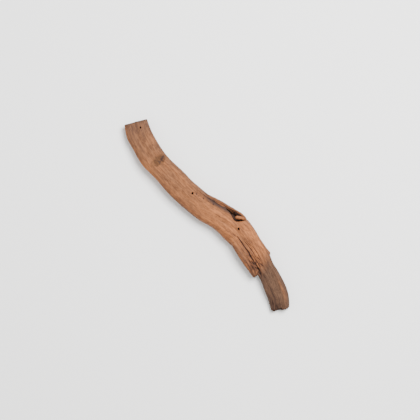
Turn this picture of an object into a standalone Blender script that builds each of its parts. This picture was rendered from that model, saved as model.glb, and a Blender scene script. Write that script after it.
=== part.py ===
"""Spiderwood root: one broad, flattened, S-curved piece of wood that lies on a surface.

The body is a loft through unlike sections that follow the grain, with the lower lobe as its far
end. A second, shorter loft is the stub of the fork. Cutters tear the window out of one side, split
the cracks, bore the small round holes and flatten the three spots that the root rests on. Peeled
strands and splinters stand in the window and at the torn ends.

The outline below is in millimetres, X from the broad end to the lobe, Y across, Z up. FOOTPRINT
moves it, so that the origin is the middle of the footprint, at the height of the surface.
"""
import math
import random

import bmesh
import bpy
import numpy as np
from mathutils import Matrix, Vector

MM = 0.001
NODE = "spiderwood_root"
FOOTPRINT = (143.22, 6.38)
ROWS_PER_MM = 0.30
COLUMNS = 44
STUB_COLUMNS = 24
UNDERSIDE_SQUARENESS = 2.4
WOOD_COLOUR = (0.42, 0.24, 0.135, 1.0)
WOOD_ROUGHNESS = 0.72
CUTTER_MARGIN = 12.0
CUTTER_RISE = 2.0
CRACK_RINGS = 9
HOLE_SIDES = 10
SPLINTER_FOOT = 5.0
SECTION_STEPS = 160

# Each station of the body: centre x, centre y, half width, height of the underside, thickness,
# squareness of the upper side, crown (the side on which the top is highest) and keel (the side on
# which the underside is lowest), both from -1 to 1.
BODY = [
    (0.6, 3.3, 13.9, 0.8, 13.4, 5.5, -0.20, -0.35),
    (13.5, -2.2, 15.0, -0.8, 15.6, 5.5, -0.25, -0.40),
    (29.0, -5.3, 14.8, 0.6, 16.0, 5.0, -0.25, -0.30),
    (46.3, -7.6, 15.1, 2.2, 15.8, 4.6, -0.20, -0.10),
    (62.8, -6.7, 14.7, 3.2, 15.8, 4.0, -0.05, 0.00),
    (80.4, -4.9, 15.3, 3.6, 16.0, 3.6, 0.10, 0.10),
    (98.5, -3.3, 15.3, 3.4, 16.6, 3.3, 0.20, 0.15),
    (116.5, -0.1, 15.7, 2.9, 17.4, 3.1, 0.25, 0.20),
    (135.0, 4.3, 15.8, 2.0, 18.2, 3.0, 0.20, 0.25),
    (152.8, 10.9, 15.6, 1.0, 19.0, 3.0, 0.10, 0.35),
    (170.5, 16.4, 17.8, -0.2, 20.0, 3.0, 0.10, 0.45),
    (188.0, 17.9, 16.9, -0.9, 20.4, 2.9, 0.15, 0.45),
    (204.5, 18.2, 14.9, 0.4, 18.6, 2.8, 0.15, 0.30),
    (219.3, 17.8, 14.0, 2.2, 15.8, 2.7, 0.10, 0.05),
    (233.0, 15.9, 11.9, 2.8, 14.2, 2.7, 0.15, -0.10),
    (246.0, 14.0, 12.1, 2.0, 13.8, 2.8, 0.20, -0.25),
    (259.8, 10.6, 12.7, 0.0, 14.4, 2.9, 0.20, -0.35),
    (272.4, 6.6, 12.5, -1.0, 14.4, 2.9, 0.25, -0.35),
    (285.6, -0.6, 11.4, -0.2, 12.8, 2.8, 0.25, -0.30),
]

# The stub beside the lobe, in the same terms. It starts inside the body.
STUB = [
    (168.0, 11.0, 3.0, 8.0, 9.0, 2.6, 0.0, 0.0),
    (179.0, 8.6, 5.2, 5.6, 13.2, 2.6, 0.0, 0.0),
    (190.0, 7.2, 6.0, 4.4, 15.0, 2.8, 0.0, 0.0),
    (201.0, 6.2, 6.5, 4.2, 15.0, 3.0, 0.0, 0.0),
    (213.5, 4.8, 6.6, 4.8, 13.6, 3.0, 0.0, 0.0),
    (224.0, 3.8, 6.0, 5.4, 11.8, 2.8, 0.0, 0.0),
    (230.5, 2.7, 5.3, 6.0, 10.0, 2.6, 0.0, 0.0),
    (235.4, 1.6, 4.2, 6.8, 7.4, 2.4, 0.0, 0.0),
]

# How far the torn ends run in and out along the grain, and over how long a stretch.
LOBE_TEAR = (1.8, 9.0)
STUB_TEAR = (1.5, 6.0)
BROAD_END_TEAR = (0.5, 3.0)

# The torn window: its inner edge along the body, and the floor that is left under it.
WINDOW_EDGE = [
    (142.0, 31.0), (145.0, 24.4), (150.0, 23.2), (156.5, 23.4), (161.4, 22.4), (166.2, 21.7),
    (169.8, 22.4), (172.8, 27.1), (176.2, 33.7), (178.0, 44.0), (140.0, 44.0),
]
WINDOW_FLOOR = 4.6

# Shallow hollows in the upper side: x, y, reach along X, reach along Y, depth. The first is the old
# knot in the broad half, the second the sunk corner of the lobe's torn end.
HOLLOWS = [
    (54.8, -1.4, 6.0, 4.0, 0.7),
    (281.0, -6.0, 9.0, 6.5, 3.4),
    (214.0, 5.6, 12.0, 2.4, 0.8),
]

# Cracks along the grain: points on the surface, half width at the surface, depth, and lean. With a
# lean above 1 the crack is widest towards the lobe.
CRACKS = [
    ([(181.0, 12.6), (190.8, 12.5), (199.3, 12.4), (207.4, 12.0), (215.9, 10.7), (226.0, 9.6), (237.5, 8.2)],
     1.3, 5.5, 1.2),
    ([(187.3, 16.6), (197.1, 16.4), (204.8, 16.5), (210.8, 16.2), (216.0, 15.2), (222.5, 14.4)], 0.5, 2.0, 1.0),
    ([(196.3, 20.4), (204.4, 20.0), (212.1, 19.9), (219.0, 18.9), (226.9, 17.3), (231.2, 15.9)], 0.45, 1.8, 1.4),
    ([(208.0, 14.2), (216.0, 13.0), (226.0, 12.2)], 0.55, 1.8, 1.2),
    ([(209.0, 7.6), (218.0, 6.4), (227.0, 5.2)], 0.5, 1.8, 1.2),
    ([(104.0, 9.2), (112.0, 10.6), (121.0, 12.6), (130.0, 15.6), (138.0, 18.8), (145.0, 22.2)], 0.6, 2.2, 1.4),
    ([(252.0, 6.2), (260.0, 5.0), (268.0, 2.6), (276.0, -1.2)], 0.5, 1.8, 1.0),
    ([(217.0, 13.4), (224.0, 12.9), (231.0, 11.6)], 0.7, 2.0, 1.0),
    ([(221.0, 5.9), (227.0, 4.7), (233.0, 3.0)], 0.7, 2.2, 1.2),
    ([(212.0, 3.0), (219.0, 2.2), (226.0, 1.2)], 0.55, 1.7, 1.0),
]

# Small round holes: x, y, radius, depth.
HOLES = [(9.8, 3.5, 1.15, 4.0), (110.5, 3.3, 1.35, 4.5), (178.3, 20.0, 1.45, 4.5)]

# Flat strips over the window, two peeled strands and a blunt splinter: points with their heights,
# width, thickness, and the share of both that is left at the two ends.
STRIPS = [
    ([(118.0, 13.2, 17.0), (131.0, 19.2, 17.9), (143.0, 23.8, 17.2), (153.4, 27.5, 15.6), (163.0, 31.4, 14.4),
      (171.0, 33.6, 13.2), (180.0, 31.5, 11.0)], 4.6, 2.0, (0.3, 0.6)),
    ([(134.0, 18.0, 18.0), (144.0, 21.9, 17.6), (152.0, 25.4, 15.6), (158.0, 29.3, 13.2), (165.0, 31.6, 11.0),
      (172.0, 31.8, 8.0)], 1.8, 1.3, (0.4, 0.7)),
    ([(173.3, 34.2, 12.8), (168.6, 29.9, 14.4), (163.4, 25.2, 15.4)], 3.7, 2.0, (0.95, 0.95)),
]
STRIP_SIDES = 8
STRIP_STEP = 3.4

# A splinter on the far side of the root: foot, tip, width and thickness at the foot.
SIDE_SPLINTER = ((214.0, 29.6, 9.6), (226.5, 30.6, 9.0), 3.0, 2.0)

# Splinters round a torn end: centre, heading in degrees, half width, lowest and highest point of the
# torn face, reach, how many.
LOBE_SPLINTERS = ((285.6, -0.6), -31.0, 11.4, 0.4, 11.6, 2.2, 8)
STUB_SPLINTERS = ((235.4, 1.6), -14.0, 4.4, 6.8, 14.2, 2.2, 5)


def clear_scene():
    """Start from an empty file."""
    for thing in list(bpy.data.objects):
        bpy.data.objects.remove(thing, do_unlink=True)


def make_collection(name):
    """A collection under the scene's own."""
    collection = bpy.data.collections.new(name)
    bpy.context.scene.collection.children.link(collection)
    return collection


def wood_material():
    """Bare, dry root wood."""
    material = bpy.data.materials.new("root_wood")
    material.use_nodes = True
    shader = material.node_tree.nodes["Principled BSDF"]
    shader.inputs["Base Color"].default_value = WOOD_COLOUR
    shader.inputs["Roughness"].default_value = WOOD_ROUGHNESS
    shader.inputs["Metallic"].default_value = 0.0
    return material


def new_object(name, mesh, collection):
    """An object for a mesh, in a collection."""
    thing = bpy.data.objects.new(name, mesh)
    collection.objects.link(thing)
    return thing


def mesh_from_bmesh(name, shape):
    """Write a bmesh to a new mesh, with its faces turned outwards."""
    bmesh.ops.recalc_face_normals(shape, faces=shape.faces[:])
    mesh = bpy.data.meshes.new(name)
    shape.to_mesh(mesh)
    shape.free()
    return mesh


def smooth_values(knots, values, at):
    """Values of a smooth curve through the knots (Catmull-Rom, held at both ends)."""
    knots = np.asarray(knots, dtype=float)
    values = np.asarray(values, dtype=float)
    slopes = np.gradient(values, knots, axis=0)
    spans = np.clip(np.searchsorted(knots, at, side="right") - 1, 0, len(knots) - 2)
    width = knots[spans + 1] - knots[spans]
    u = (at - knots[spans]) / width
    shape = (-1,) + (1,) * (values.ndim - 1)
    u = u.reshape(shape)
    width = width.reshape(shape)
    start, end = values[spans], values[spans + 1]
    start_slope, end_slope = slopes[spans] * width, slopes[spans + 1] * width
    return (
        (2 * u ** 3 - 3 * u ** 2 + 1) * start
        + (u ** 3 - 2 * u ** 2 + u) * start_slope
        + (3 * u ** 2 - 2 * u ** 3) * end
        + (u ** 3 - u ** 2) * end_slope
    )


def course_length(points):
    """Distance along a course of points to each of them."""
    steps = [math.dist(start, end) for start, end in zip(points, points[1:])]
    return np.concatenate([[0.0], np.cumsum(steps)])


def smooth_rows(stations, rows):
    """Stations read at equal steps along the root, with their distance from the first."""
    knots = course_length([station[:2] for station in stations])
    at = np.linspace(0.0, knots[-1], rows)
    return at, smooth_values(knots, stations, at)


def section(row, columns):
    """One closed section: across and height of its points, from the keel round by the right side.

    Its halves have equal numbers of points, evenly spaced, so a column follows the grain.
    """
    half, low, thick, square, crown, keel = row[2:8]
    middle = low + thick * 0.5
    turn = np.linspace(-math.pi / 2, math.pi / 2, SECTION_STEPS)
    halves = []
    for side in (1.0, -1.0):
        cosine, sine = np.cos(turn), np.sin(turn)
        power = np.where(sine > 0, 2.0 / square, 2.0 / UNDERSIDE_SQUARENESS)
        across = side * np.abs(cosine) ** power
        height = np.sign(sine) * np.abs(sine) ** power
        shift = np.where(sine > 0, crown, keel) * np.clip(np.abs(sine), 0, 1) * (1 - across ** 2) * 0.8
        across = (across + shift) * half
        height = middle + height * thick * 0.5
        length = np.concatenate([[0.0], np.cumsum(np.hypot(np.diff(across), np.diff(height)))])
        even = np.linspace(0.0, length[-1], columns // 2 + 1)
        halves.append((np.interp(even, length, across), np.interp(even, length, height)))
    (right_across, right_height), (left_across, left_height) = halves
    across = np.concatenate([right_across, left_across[-2:0:-1]])
    height = np.concatenate([right_height, left_height[-2:0:-1]])
    return across, height


def grain_relief(along, column, columns):
    """Low ridges and furrows along the grain, deeper towards the lobe, in millimetres."""
    turn = 2 * math.pi * column / columns
    depth = 0.18 + 0.34 * np.clip((along - 90.0) / 110.0, 0.0, 1.0)
    drift = along / 46.0
    waves = (
        0.55 * np.sin(7 * turn + 1.3 * drift + 0.6)
        + 0.35 * np.sin(11 * turn - 0.9 * drift + 2.1)
        + 0.30 * np.sin(3 * turn + 2.2 * drift)
    )
    return depth * waves


def hollow_depth(x, y):
    """How deep the shallow hollows lie at a point of the outline, in millimetres."""
    depth = 0.0
    for centre_x, centre_y, reach_x, reach_y, deep in HOLLOWS:
        depth += deep * math.exp(-((x - centre_x) / reach_x) ** 2 - ((y - centre_y) / reach_y) ** 2)
    return depth


def swelling(along):
    """Slow swelling and thinning of the whole section, as a fraction."""
    return 1.0 + 0.012 * np.sin(along / 13.0) + 0.010 * np.sin(along / 7.1 + 1.0)


def torn_offset(column, columns, tear, seed):
    """How far one column of a torn end runs past or short of the mean end."""
    generator = random.Random(seed * 1009 + int(column))
    turn = 2 * math.pi * column / columns
    wave = 0.5 * math.sin(5 * turn + seed) + 0.3 * math.sin(9 * turn + 2 * seed)
    return tear * (wave + generator.uniform(-0.5, 0.5))


def loft(name, stations, columns, start_tear, end_tear, seed):
    """A closed mesh through the stations, torn at both ends.

    start_tear and end_tear are the size of the tear and the stretch along the grain that it fades over.
    """
    length = course_length([station[:2] for station in stations])[-1]
    rows = max(8, int(length * ROWS_PER_MM))
    along, values = smooth_rows(stations, rows)
    heading = np.unwrap(np.arctan2(np.gradient(values[:, 1]), np.gradient(values[:, 0])))
    shape = bmesh.new()
    rings = []
    for row in range(rows):
        across, height = section(values[row], columns)
        middle = values[row][3] + values[row][4] * 0.5
        radius = np.hypot(across, height - middle)
        index = np.arange(columns)
        grown = swelling(along[row]) * (radius + grain_relief(along[row], index, columns)) / radius
        across = across * grown
        height = middle + (height - middle) * grown
        ring = []
        for column in range(columns):
            slide = 0.0
            if end_tear[0]:
                fade = max(0.0, 1 - (along[-1] - along[row]) / end_tear[1])
                slide += fade * torn_offset(column, columns, end_tear[0], seed)
            if start_tear[0]:
                fade = max(0.0, 1 - along[row] / start_tear[1])
                slide -= fade * torn_offset(column, columns, start_tear[0], seed + 5)
            ahead = Vector((math.cos(heading[row]), math.sin(heading[row])))
            left = Vector((-ahead.y, ahead.x))
            place = Vector(values[row][:2]) + ahead * slide + left * across[column]
            rise = (height[column] - middle) / (values[row][4] * 0.5)
            sunk = hollow_depth(place.x, place.y) * min(1.0, max(0.0, rise * 1.6))
            place -= Vector(FOOTPRINT)
            ring.append(shape.verts.new((place.x * MM, place.y * MM, (height[column] - sunk) * MM)))
        rings.append(ring)
    for ring, following in zip(rings, rings[1:]):
        for column in range(columns):
            onward = (column + 1) % columns
            shape.faces.new((ring[column], ring[onward], following[onward], following[column]))
    for ring, inward in ((rings[0], rings[1]), (rings[-1], rings[-2])):
        centre = sum((vertex.co for vertex in ring), Vector()) / columns
        hollow = sum((vertex.co for vertex in inward), Vector()) / columns
        middle = shape.verts.new(centre.lerp(hollow, 0.5))
        for column in range(columns):
            shape.faces.new((ring[column], ring[(column + 1) % columns], middle))
    return mesh_from_bmesh(name, shape)


def strip_mesh(name, points, width, thickness, ends):
    """A flat strip of wood along its points, smaller at both ends."""
    knots = course_length(points)
    at = np.linspace(0.0, knots[-1], int(knots[-1] / STRIP_STEP) + 2)
    path = smooth_values(knots, points, at) - np.array([FOOTPRINT[0], FOOTPRINT[1], 0.0])
    ahead = np.gradient(path, axis=0)
    size = np.interp(at / knots[-1], [0.0, 0.3, 0.8, 1.0], [ends[0], 1.0, 1.0, ends[1]])
    shape = bmesh.new()
    rings = []
    for place, run, share in zip(path, ahead, size):
        run = Vector(run).normalized()
        side = Vector((0.0, 0.0, 1.0)).cross(run).normalized()
        above = run.cross(side)
        ring = []
        for corner in range(STRIP_SIDES):
            turn = 2 * math.pi * (corner + 0.5) / STRIP_SIDES
            offset = side * math.cos(turn) * width * 0.5 + above * math.sin(turn) * thickness * 0.5
            ring.append(shape.verts.new((Vector(place) + offset * share) * MM))
        rings.append(ring)
    for ring, following in zip(rings, rings[1:]):
        for corner in range(STRIP_SIDES):
            onward = (corner + 1) % STRIP_SIDES
            shape.faces.new((ring[corner], ring[onward], following[onward], following[corner]))
    shape.faces.new(rings[0])
    shape.faces.new(rings[-1])
    bmesh.ops.triangulate(shape, faces=shape.faces[:])
    return mesh_from_bmesh(name, shape)


def splinter_mesh(name, foot, tip, width, thickness):
    """A flat tapered sliver from its foot, sunk in the wood, to a narrow tip."""
    shape = bmesh.new()
    bmesh.ops.create_cone(
        shape, cap_ends=True, segments=5, radius1=1.0, radius2=0.5, depth=1.0,
        matrix=Matrix.Translation((0, 0, 0.5)),
    )
    shift = Vector((FOOTPRINT[0], FOOTPRINT[1], 0.0))
    start = (Vector(foot) - shift) * MM
    run = (Vector(tip) - shift) * MM - start
    turn = run.to_track_quat("Z", "Y").to_matrix().to_4x4()
    size = Matrix.Diagonal((thickness * 0.5 * MM, width * 0.5 * MM, run.length, 1.0))
    shape.transform(Matrix.Translation(start) @ turn @ size)
    return mesh_from_bmesh(name, shape)


def end_splinters(centre, degrees, half, low, high, reach, count, seed):
    """Foot, tip, width and thickness of the splinters round one torn end."""
    generator = random.Random(seed)
    heading = math.radians(degrees)
    ahead = Vector((math.cos(heading), math.sin(heading), 0.0))
    left = Vector((-ahead.y, ahead.x, 0.0))
    slivers = []
    for index in range(count):
        across = half * (-0.78 + 1.56 * (index + generator.uniform(0.2, 0.8)) / count)
        rise = generator.uniform(0.3, 0.82)
        place = Vector((centre[0], centre[1], 0.0)) + left * across
        place.z = low + (high - low) * rise
        foot = place - ahead * SPLINTER_FOOT
        tip = place + ahead * reach * generator.uniform(0.35, 1.0) + left * generator.uniform(-0.8, 0.8)
        tip.z += generator.uniform(-0.8, 0.4)
        slivers.append((tuple(foot), tuple(tip), generator.uniform(2.8, 4.4), generator.uniform(1.6, 2.6)))
    return slivers


def window_cutter():
    """The block that tears the window out of the side."""
    shape = bmesh.new()
    floor = []
    roof = []
    for x, y in WINDOW_EDGE:
        lean = 0.10 * (y - WINDOW_EDGE[4][1])
        floor.append(shape.verts.new(((x - FOOTPRINT[0]) * MM, (y - FOOTPRINT[1]) * MM, (WINDOW_FLOOR - lean) * MM)))
        roof.append(shape.verts.new(((x - FOOTPRINT[0]) * MM, (y - FOOTPRINT[1]) * MM, 40.0 * MM)))
    shape.faces.new(floor)
    shape.faces.new(roof)
    for index in range(len(floor)):
        onward = (index + 1) % len(floor)
        shape.faces.new((floor[index], floor[onward], roof[onward], roof[index]))
    bmesh.ops.triangulate(shape, faces=shape.faces[:])
    return mesh_from_bmesh("window_cutter", shape)


def upper_side(stations, x, y):
    """Height of one loft's upper side above a point, from its own section."""
    _, values = smooth_rows(stations, 400)
    nearest = int(np.argmin(np.hypot(values[:, 0] - x, values[:, 1] - y)))
    row = values[nearest]
    across = math.hypot(row[0] - x, row[1] - y) / row[2]
    if across > 0.95:
        return 0.0
    return row[3] + row[4] * 0.5 * (1 + (1 - across ** row[5]) ** (1 / row[5]))


def surface_height(x, y):
    """Height of the root above a point: the body or the stub, whichever is higher."""
    return max(upper_side(BODY, x, y), upper_side(STUB, x, y)) - hollow_depth(x, y)


def crack_cutter(name, points, half_width, depth, lean):
    """A thin wedge along the grain, widest at the surface and fading out at both ends."""
    knots = course_length(points)
    path = smooth_values(knots, points, np.linspace(0.0, knots[-1], CRACK_RINGS))
    shape = bmesh.new()
    rings = []
    for index, (x, y) in enumerate(path):
        swell = 0.15 + 0.85 * math.sin(math.pi * ((index + 0.5) / len(path)) ** lean)
        before, after = path[max(index - 1, 0)], path[min(index + 1, len(path) - 1)]
        ahead = Vector((after[0] - before[0], after[1] - before[1])).normalized()
        left = Vector((-ahead.y, ahead.x))
        height = surface_height(x, y)
        deep = depth * swell
        wide = half_width * swell * (deep + CUTTER_RISE) / deep
        place = Vector((x - FOOTPRINT[0], y - FOOTPRINT[1]))
        ring = []
        for side in (-1.0, 1.0):
            edge = place + left * wide * side
            ring.append(shape.verts.new((edge.x * MM, edge.y * MM, (height + CUTTER_RISE) * MM)))
        ring.append(shape.verts.new((place.x * MM, place.y * MM, (height - deep) * MM)))
        rings.append(ring)
    for ring, following in zip(rings, rings[1:]):
        for corner in range(3):
            onward = (corner + 1) % 3
            shape.faces.new((ring[corner], ring[onward], following[onward], following[corner]))
    shape.faces.new(rings[0])
    shape.faces.new(rings[-1])
    bmesh.ops.triangulate(shape, faces=shape.faces[:])
    return mesh_from_bmesh(name, shape)


def hole_cutter(name, x, y, radius, depth):
    """A small round bore, narrower at its bottom."""
    shape = bmesh.new()
    height = surface_height(x, y) + (CUTTER_RISE - depth) * 0.5
    bmesh.ops.create_cone(
        shape, cap_ends=True, segments=HOLE_SIDES, radius1=radius * 0.6 * MM, radius2=radius * 1.1 * MM,
        depth=(depth + CUTTER_RISE) * MM,
        matrix=Matrix.Translation(((x - FOOTPRINT[0]) * MM, (y - FOOTPRINT[1]) * MM, height * MM)),
    )
    return mesh_from_bmesh(name, shape)


def floor_cutter():
    """Everything below the surface that the root rests on."""
    shape = bmesh.new()
    bmesh.ops.create_cube(
        shape, size=1.0,
        matrix=Matrix.Translation((0.0, 0.0, -CUTTER_MARGIN * 0.5 * MM))
        @ Matrix.Diagonal((340.0 * MM, 110.0 * MM, CUTTER_MARGIN * MM, 1.0)),
    )
    return mesh_from_bmesh("floor_cutter", shape)


def apply_boolean(target, operand, operation):
    """Join or cut with one object, and keep the result as the target's mesh."""
    modifier = target.modifiers.new(operation.lower(), "BOOLEAN")
    modifier.operation = operation
    modifier.solver = "EXACT"
    modifier.object = operand
    evaluated = target.evaluated_get(bpy.context.evaluated_depsgraph_get())
    mesh = bpy.data.meshes.new_from_object(evaluated)
    target.modifiers.remove(modifier)
    old = target.data
    target.data = mesh
    bpy.data.meshes.remove(old)


def tidy_mesh(thing):
    """Merge what the cuts left closer than a few microns, and triangulate."""
    shape = bmesh.new()
    shape.from_mesh(thing.data)
    bmesh.ops.triangulate(shape, faces=shape.faces[:])
    bmesh.ops.dissolve_degenerate(shape, dist=4e-6, edges=shape.edges[:])
    bmesh.ops.triangulate(shape, faces=shape.faces[:])
    bmesh.ops.recalc_face_normals(shape, faces=shape.faces[:])
    shape.to_mesh(thing.data)
    shape.free()


def build():
    """Model the whole root."""
    clear_scene()
    parts = make_collection("spiderwood_root_parts")
    cutters = make_collection("cutters")
    root = new_object(NODE, loft(NODE, BODY, COLUMNS, BROAD_END_TEAR, LOBE_TEAR, 3), parts)

    additions = [loft("stub", STUB, STUB_COLUMNS, (0.0, 1.0), STUB_TEAR, 8)]
    for index, strip in enumerate(STRIPS):
        additions.append(strip_mesh(f"strip_{index}", *strip))
    slivers = [SIDE_SPLINTER]
    slivers += end_splinters(*LOBE_SPLINTERS, seed=41)
    slivers += end_splinters(*STUB_SPLINTERS, seed=17)
    for index, sliver in enumerate(slivers):
        additions.append(splinter_mesh(f"sliver_{index}", *sliver))

    window = new_object("window_cutter", window_cutter(), cutters)
    apply_boolean(root, window, "DIFFERENCE")
    for mesh in additions:
        piece = new_object(mesh.name, mesh, cutters)
        apply_boolean(root, piece, "UNION")
        bpy.data.objects.remove(piece, do_unlink=True)

    tools = [crack_cutter(f"crack_cutter_{index}", *crack) for index, crack in enumerate(CRACKS)]
    tools += [hole_cutter(f"hole_cutter_{index}", *hole) for index, hole in enumerate(HOLES)]
    tools.append(floor_cutter())
    for mesh in tools:
        cutter = new_object(mesh.name, mesh, cutters)
        apply_boolean(root, cutter, "DIFFERENCE")
    for cutter in cutters.objects:
        cutter.hide_render = True
        cutter.display_type = "WIRE"

    tidy_mesh(root)
    root.data.name = NODE
    root.data.materials.clear()
    root.data.materials.append(wood_material())
    root.data.shade_smooth()
    root.data.set_sharp_from_angle(angle=math.radians(50))
    corners = [vertex.co for vertex in root.data.vertices]
    lows = [min(corner[axis] for corner in corners) / MM for axis in range(3)]
    highs = [max(corner[axis] for corner in corners) / MM for axis in range(3)]
    middle = [round((low + high) / 2, 2) for low, high in zip(lows, highs)]
    print("size mm", [round(high - low, 2) for low, high in zip(lows, highs)], "middle", middle)


build()
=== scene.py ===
"""The looks of one spiderwood root: a broad, flattened, S-curved piece of bare wood seen from above.

The wood is a loft through unlike sections that follow the grain, finer than the frame's own solid and
inside its box, with the fork's stub joined to it. Cutters tear the window and open the cracks. The
peeled strands, the splinters and the torn fibres are pieces of their own, and every piece carries its
grain as vertex data, so that the finish follows the wood.
"""
import logging  # noqa: E402
import math  # noqa: E402
from dataclasses import dataclass, field  # noqa: E402
from enum import Enum  # noqa: E402
from itertools import product  # noqa: E402
from typing import Callable, Iterable, Sequence  # noqa: E402

import bmesh  # noqa: E402
import bpy  # noqa: E402
import numpy as np  # noqa: E402
from mathutils import Matrix, Vector  # noqa: E402


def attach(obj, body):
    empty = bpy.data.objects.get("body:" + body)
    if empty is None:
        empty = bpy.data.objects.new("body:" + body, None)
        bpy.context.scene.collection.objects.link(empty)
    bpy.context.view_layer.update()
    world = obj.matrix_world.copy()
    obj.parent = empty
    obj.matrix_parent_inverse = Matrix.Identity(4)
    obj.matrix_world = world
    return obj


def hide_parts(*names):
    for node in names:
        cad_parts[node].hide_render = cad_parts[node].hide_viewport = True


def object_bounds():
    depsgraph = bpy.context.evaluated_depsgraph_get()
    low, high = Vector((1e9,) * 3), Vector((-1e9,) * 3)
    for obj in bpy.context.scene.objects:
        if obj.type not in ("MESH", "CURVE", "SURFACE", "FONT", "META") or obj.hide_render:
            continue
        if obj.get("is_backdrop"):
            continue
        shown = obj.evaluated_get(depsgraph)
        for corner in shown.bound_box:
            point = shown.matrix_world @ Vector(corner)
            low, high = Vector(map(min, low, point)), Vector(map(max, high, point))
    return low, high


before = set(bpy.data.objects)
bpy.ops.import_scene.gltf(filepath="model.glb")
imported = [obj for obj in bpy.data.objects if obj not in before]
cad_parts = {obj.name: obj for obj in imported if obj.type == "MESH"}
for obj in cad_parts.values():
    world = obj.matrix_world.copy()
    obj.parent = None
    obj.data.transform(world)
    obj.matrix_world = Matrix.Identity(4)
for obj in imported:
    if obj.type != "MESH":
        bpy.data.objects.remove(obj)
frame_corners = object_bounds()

LOG = logging.getLogger("spiderwood_root")

MM = 0.001
NODE = "spiderwood_root"
BODY = "root"
UNDERSIDE_SQUARENESS = 2.4

# The frame's origin in the outline's millimetres. The outline is measured along the root's long axis.
FOOTPRINT = (143.22, 6.38)
FOOTPRINT_SHIFT = np.array([*FOOTPRINT, 0.0])

# The photograph's frame: its side in pixels, the size of a pixel on the wood, the outline's place at
# the middle of the frame, and the turn of the root's long axis in it.
PHOTO_SIDE = 420
PIXEL_MM = 1.2
FRAME_MIDDLE = (139.2, 7.3)
LONG_AXIS_TURN = math.atan2(0.78252, 0.62263)

Faces = list[tuple[int, ...]]
Colour = tuple[float, float, float]


class Side(Enum):
    """The two ends of a limb, in the order of its stations."""

    START = 0
    FINISH = 1


class Change(Enum):
    """How one solid changes another, by Blender's own names."""

    JOIN = "UNION"
    CUT = "DIFFERENCE"


@dataclass(frozen=True)
class Station:
    """One section of a limb, in millimetres."""

    x: float
    y: float
    half: float
    low: float
    thick: float
    square: float
    crown: float
    keel: float

    def values(self) -> list[float]:
        """The section's numbers in the order that the loft reads them."""
        return [self.x, self.y, self.half, self.low, self.thick, self.square, self.crown, self.keel]


@dataclass(frozen=True)
class Band:
    """A measure over which a share rises smoothly from 0 to 1, or falls where the end is the smaller."""

    start: float
    end: float

    def at(self, place: np.ndarray) -> np.ndarray:
        """The share at each place."""
        return smooth_step(self.start, self.end, place)


@dataclass(frozen=True)
class Spot:
    """A soft oval on the wood: its middle and its reach, in millimetres. A higher edge is a firmer one."""

    x: float
    y: float
    reach_x: float
    reach_y: float
    edge: float = 1.5

    def at(self, x: np.ndarray, y: np.ndarray) -> np.ndarray:
        """1 at the middle and 0 well outside the oval."""
        gap = ((x - self.x) / self.reach_x) ** 2 + ((y - self.y) / self.reach_y) ** 2
        return np.exp(-(gap**self.edge))


@dataclass(frozen=True)
class Speck:
    """A small dark mark on the upper side: place and reach in millimetres, and strength."""

    x: float
    y: float
    reach: float
    strength: float

    def at(self, points: np.ndarray) -> np.ndarray:
        """How dark the mark is at each point. It is drawn out a little along the grain."""
        spot = Spot(self.x, self.y, self.reach * 1.25, self.reach)
        return self.strength * spot.at(points[:, 0], points[:, 1])


@dataclass(frozen=True)
class Hole:
    """A small round hole: place, radius and depth in millimetres."""

    x: float
    y: float
    radius: float
    depth: float


@dataclass(frozen=True)
class Crack:
    """A crack along the grain: its course on the wood, half width, depth and where it is widest."""

    course: tuple[tuple[float, float], ...]
    half_width: float
    depth: float
    lean: float


@dataclass(frozen=True)
class CheckField:
    """A scatter of short drying checks on one limb.

    Places along the limb are in millimetres. Places round it are shares of a turn that starts under the
    keel and rises on the right side first, so that 0.5 is the top.
    """

    count: int
    start: float
    finish: float
    from_turn: float
    to_turn: float
    shortest: float
    longest: float
    deepest: float
    widest: float


@dataclass(frozen=True)
class Tear:
    """How a torn end runs in and out along the grain, in millimetres.

    The chamfer takes the end back on its left side, from one distance across to another.
    """

    chunks: float
    fibres: float
    fade: float
    chamfer: float = 0.0
    chamfer_from: float = 0.0
    chamfer_to: float = 1.0


BODY_STATIONS = [
    Station(0.6, 3.3, 13.9, 0.8, 13.4, 5.5, -0.20, -0.35),
    Station(13.5, -2.2, 15.0, -0.8, 15.6, 5.5, -0.25, -0.40),
    Station(29.0, -5.3, 14.8, 0.6, 16.0, 5.0, -0.25, -0.30),
    Station(46.3, -7.6, 15.1, 2.2, 15.8, 4.6, -0.20, -0.10),
    Station(62.8, -6.7, 14.7, 3.2, 15.8, 4.0, -0.05, 0.00),
    Station(80.4, -4.9, 15.3, 3.6, 16.0, 3.6, 0.10, 0.10),
    Station(98.5, -3.3, 15.3, 3.4, 16.6, 3.3, 0.20, 0.15),
    Station(116.5, -0.1, 15.7, 2.9, 17.4, 3.1, 0.25, 0.20),
    Station(135.0, 4.3, 15.8, 2.0, 18.2, 3.0, 0.20, 0.25),
    Station(152.8, 10.9, 15.6, 1.0, 19.0, 3.0, 0.10, 0.35),
    Station(170.5, 16.4, 17.8, -0.2, 20.0, 3.0, 0.10, 0.45),
    Station(188.0, 17.9, 16.9, -0.9, 20.4, 2.9, 0.15, 0.45),
    Station(204.5, 18.2, 14.9, 0.4, 18.6, 2.8, 0.15, 0.30),
    Station(219.3, 17.8, 14.0, 2.2, 15.8, 2.7, 0.10, 0.05),
    Station(233.0, 15.9, 11.9, 2.8, 14.2, 2.7, 0.15, -0.10),
    Station(246.0, 14.0, 12.1, 2.0, 13.8, 2.8, 0.20, -0.25),
    Station(259.8, 10.6, 12.7, 0.0, 14.4, 2.9, 0.20, -0.35),
    Station(272.4, 6.6, 12.5, -1.0, 14.4, 2.9, 0.25, -0.35),
    Station(285.6, -0.6, 11.4, -0.2, 12.8, 2.8, 0.25, -0.30),
]

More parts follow.
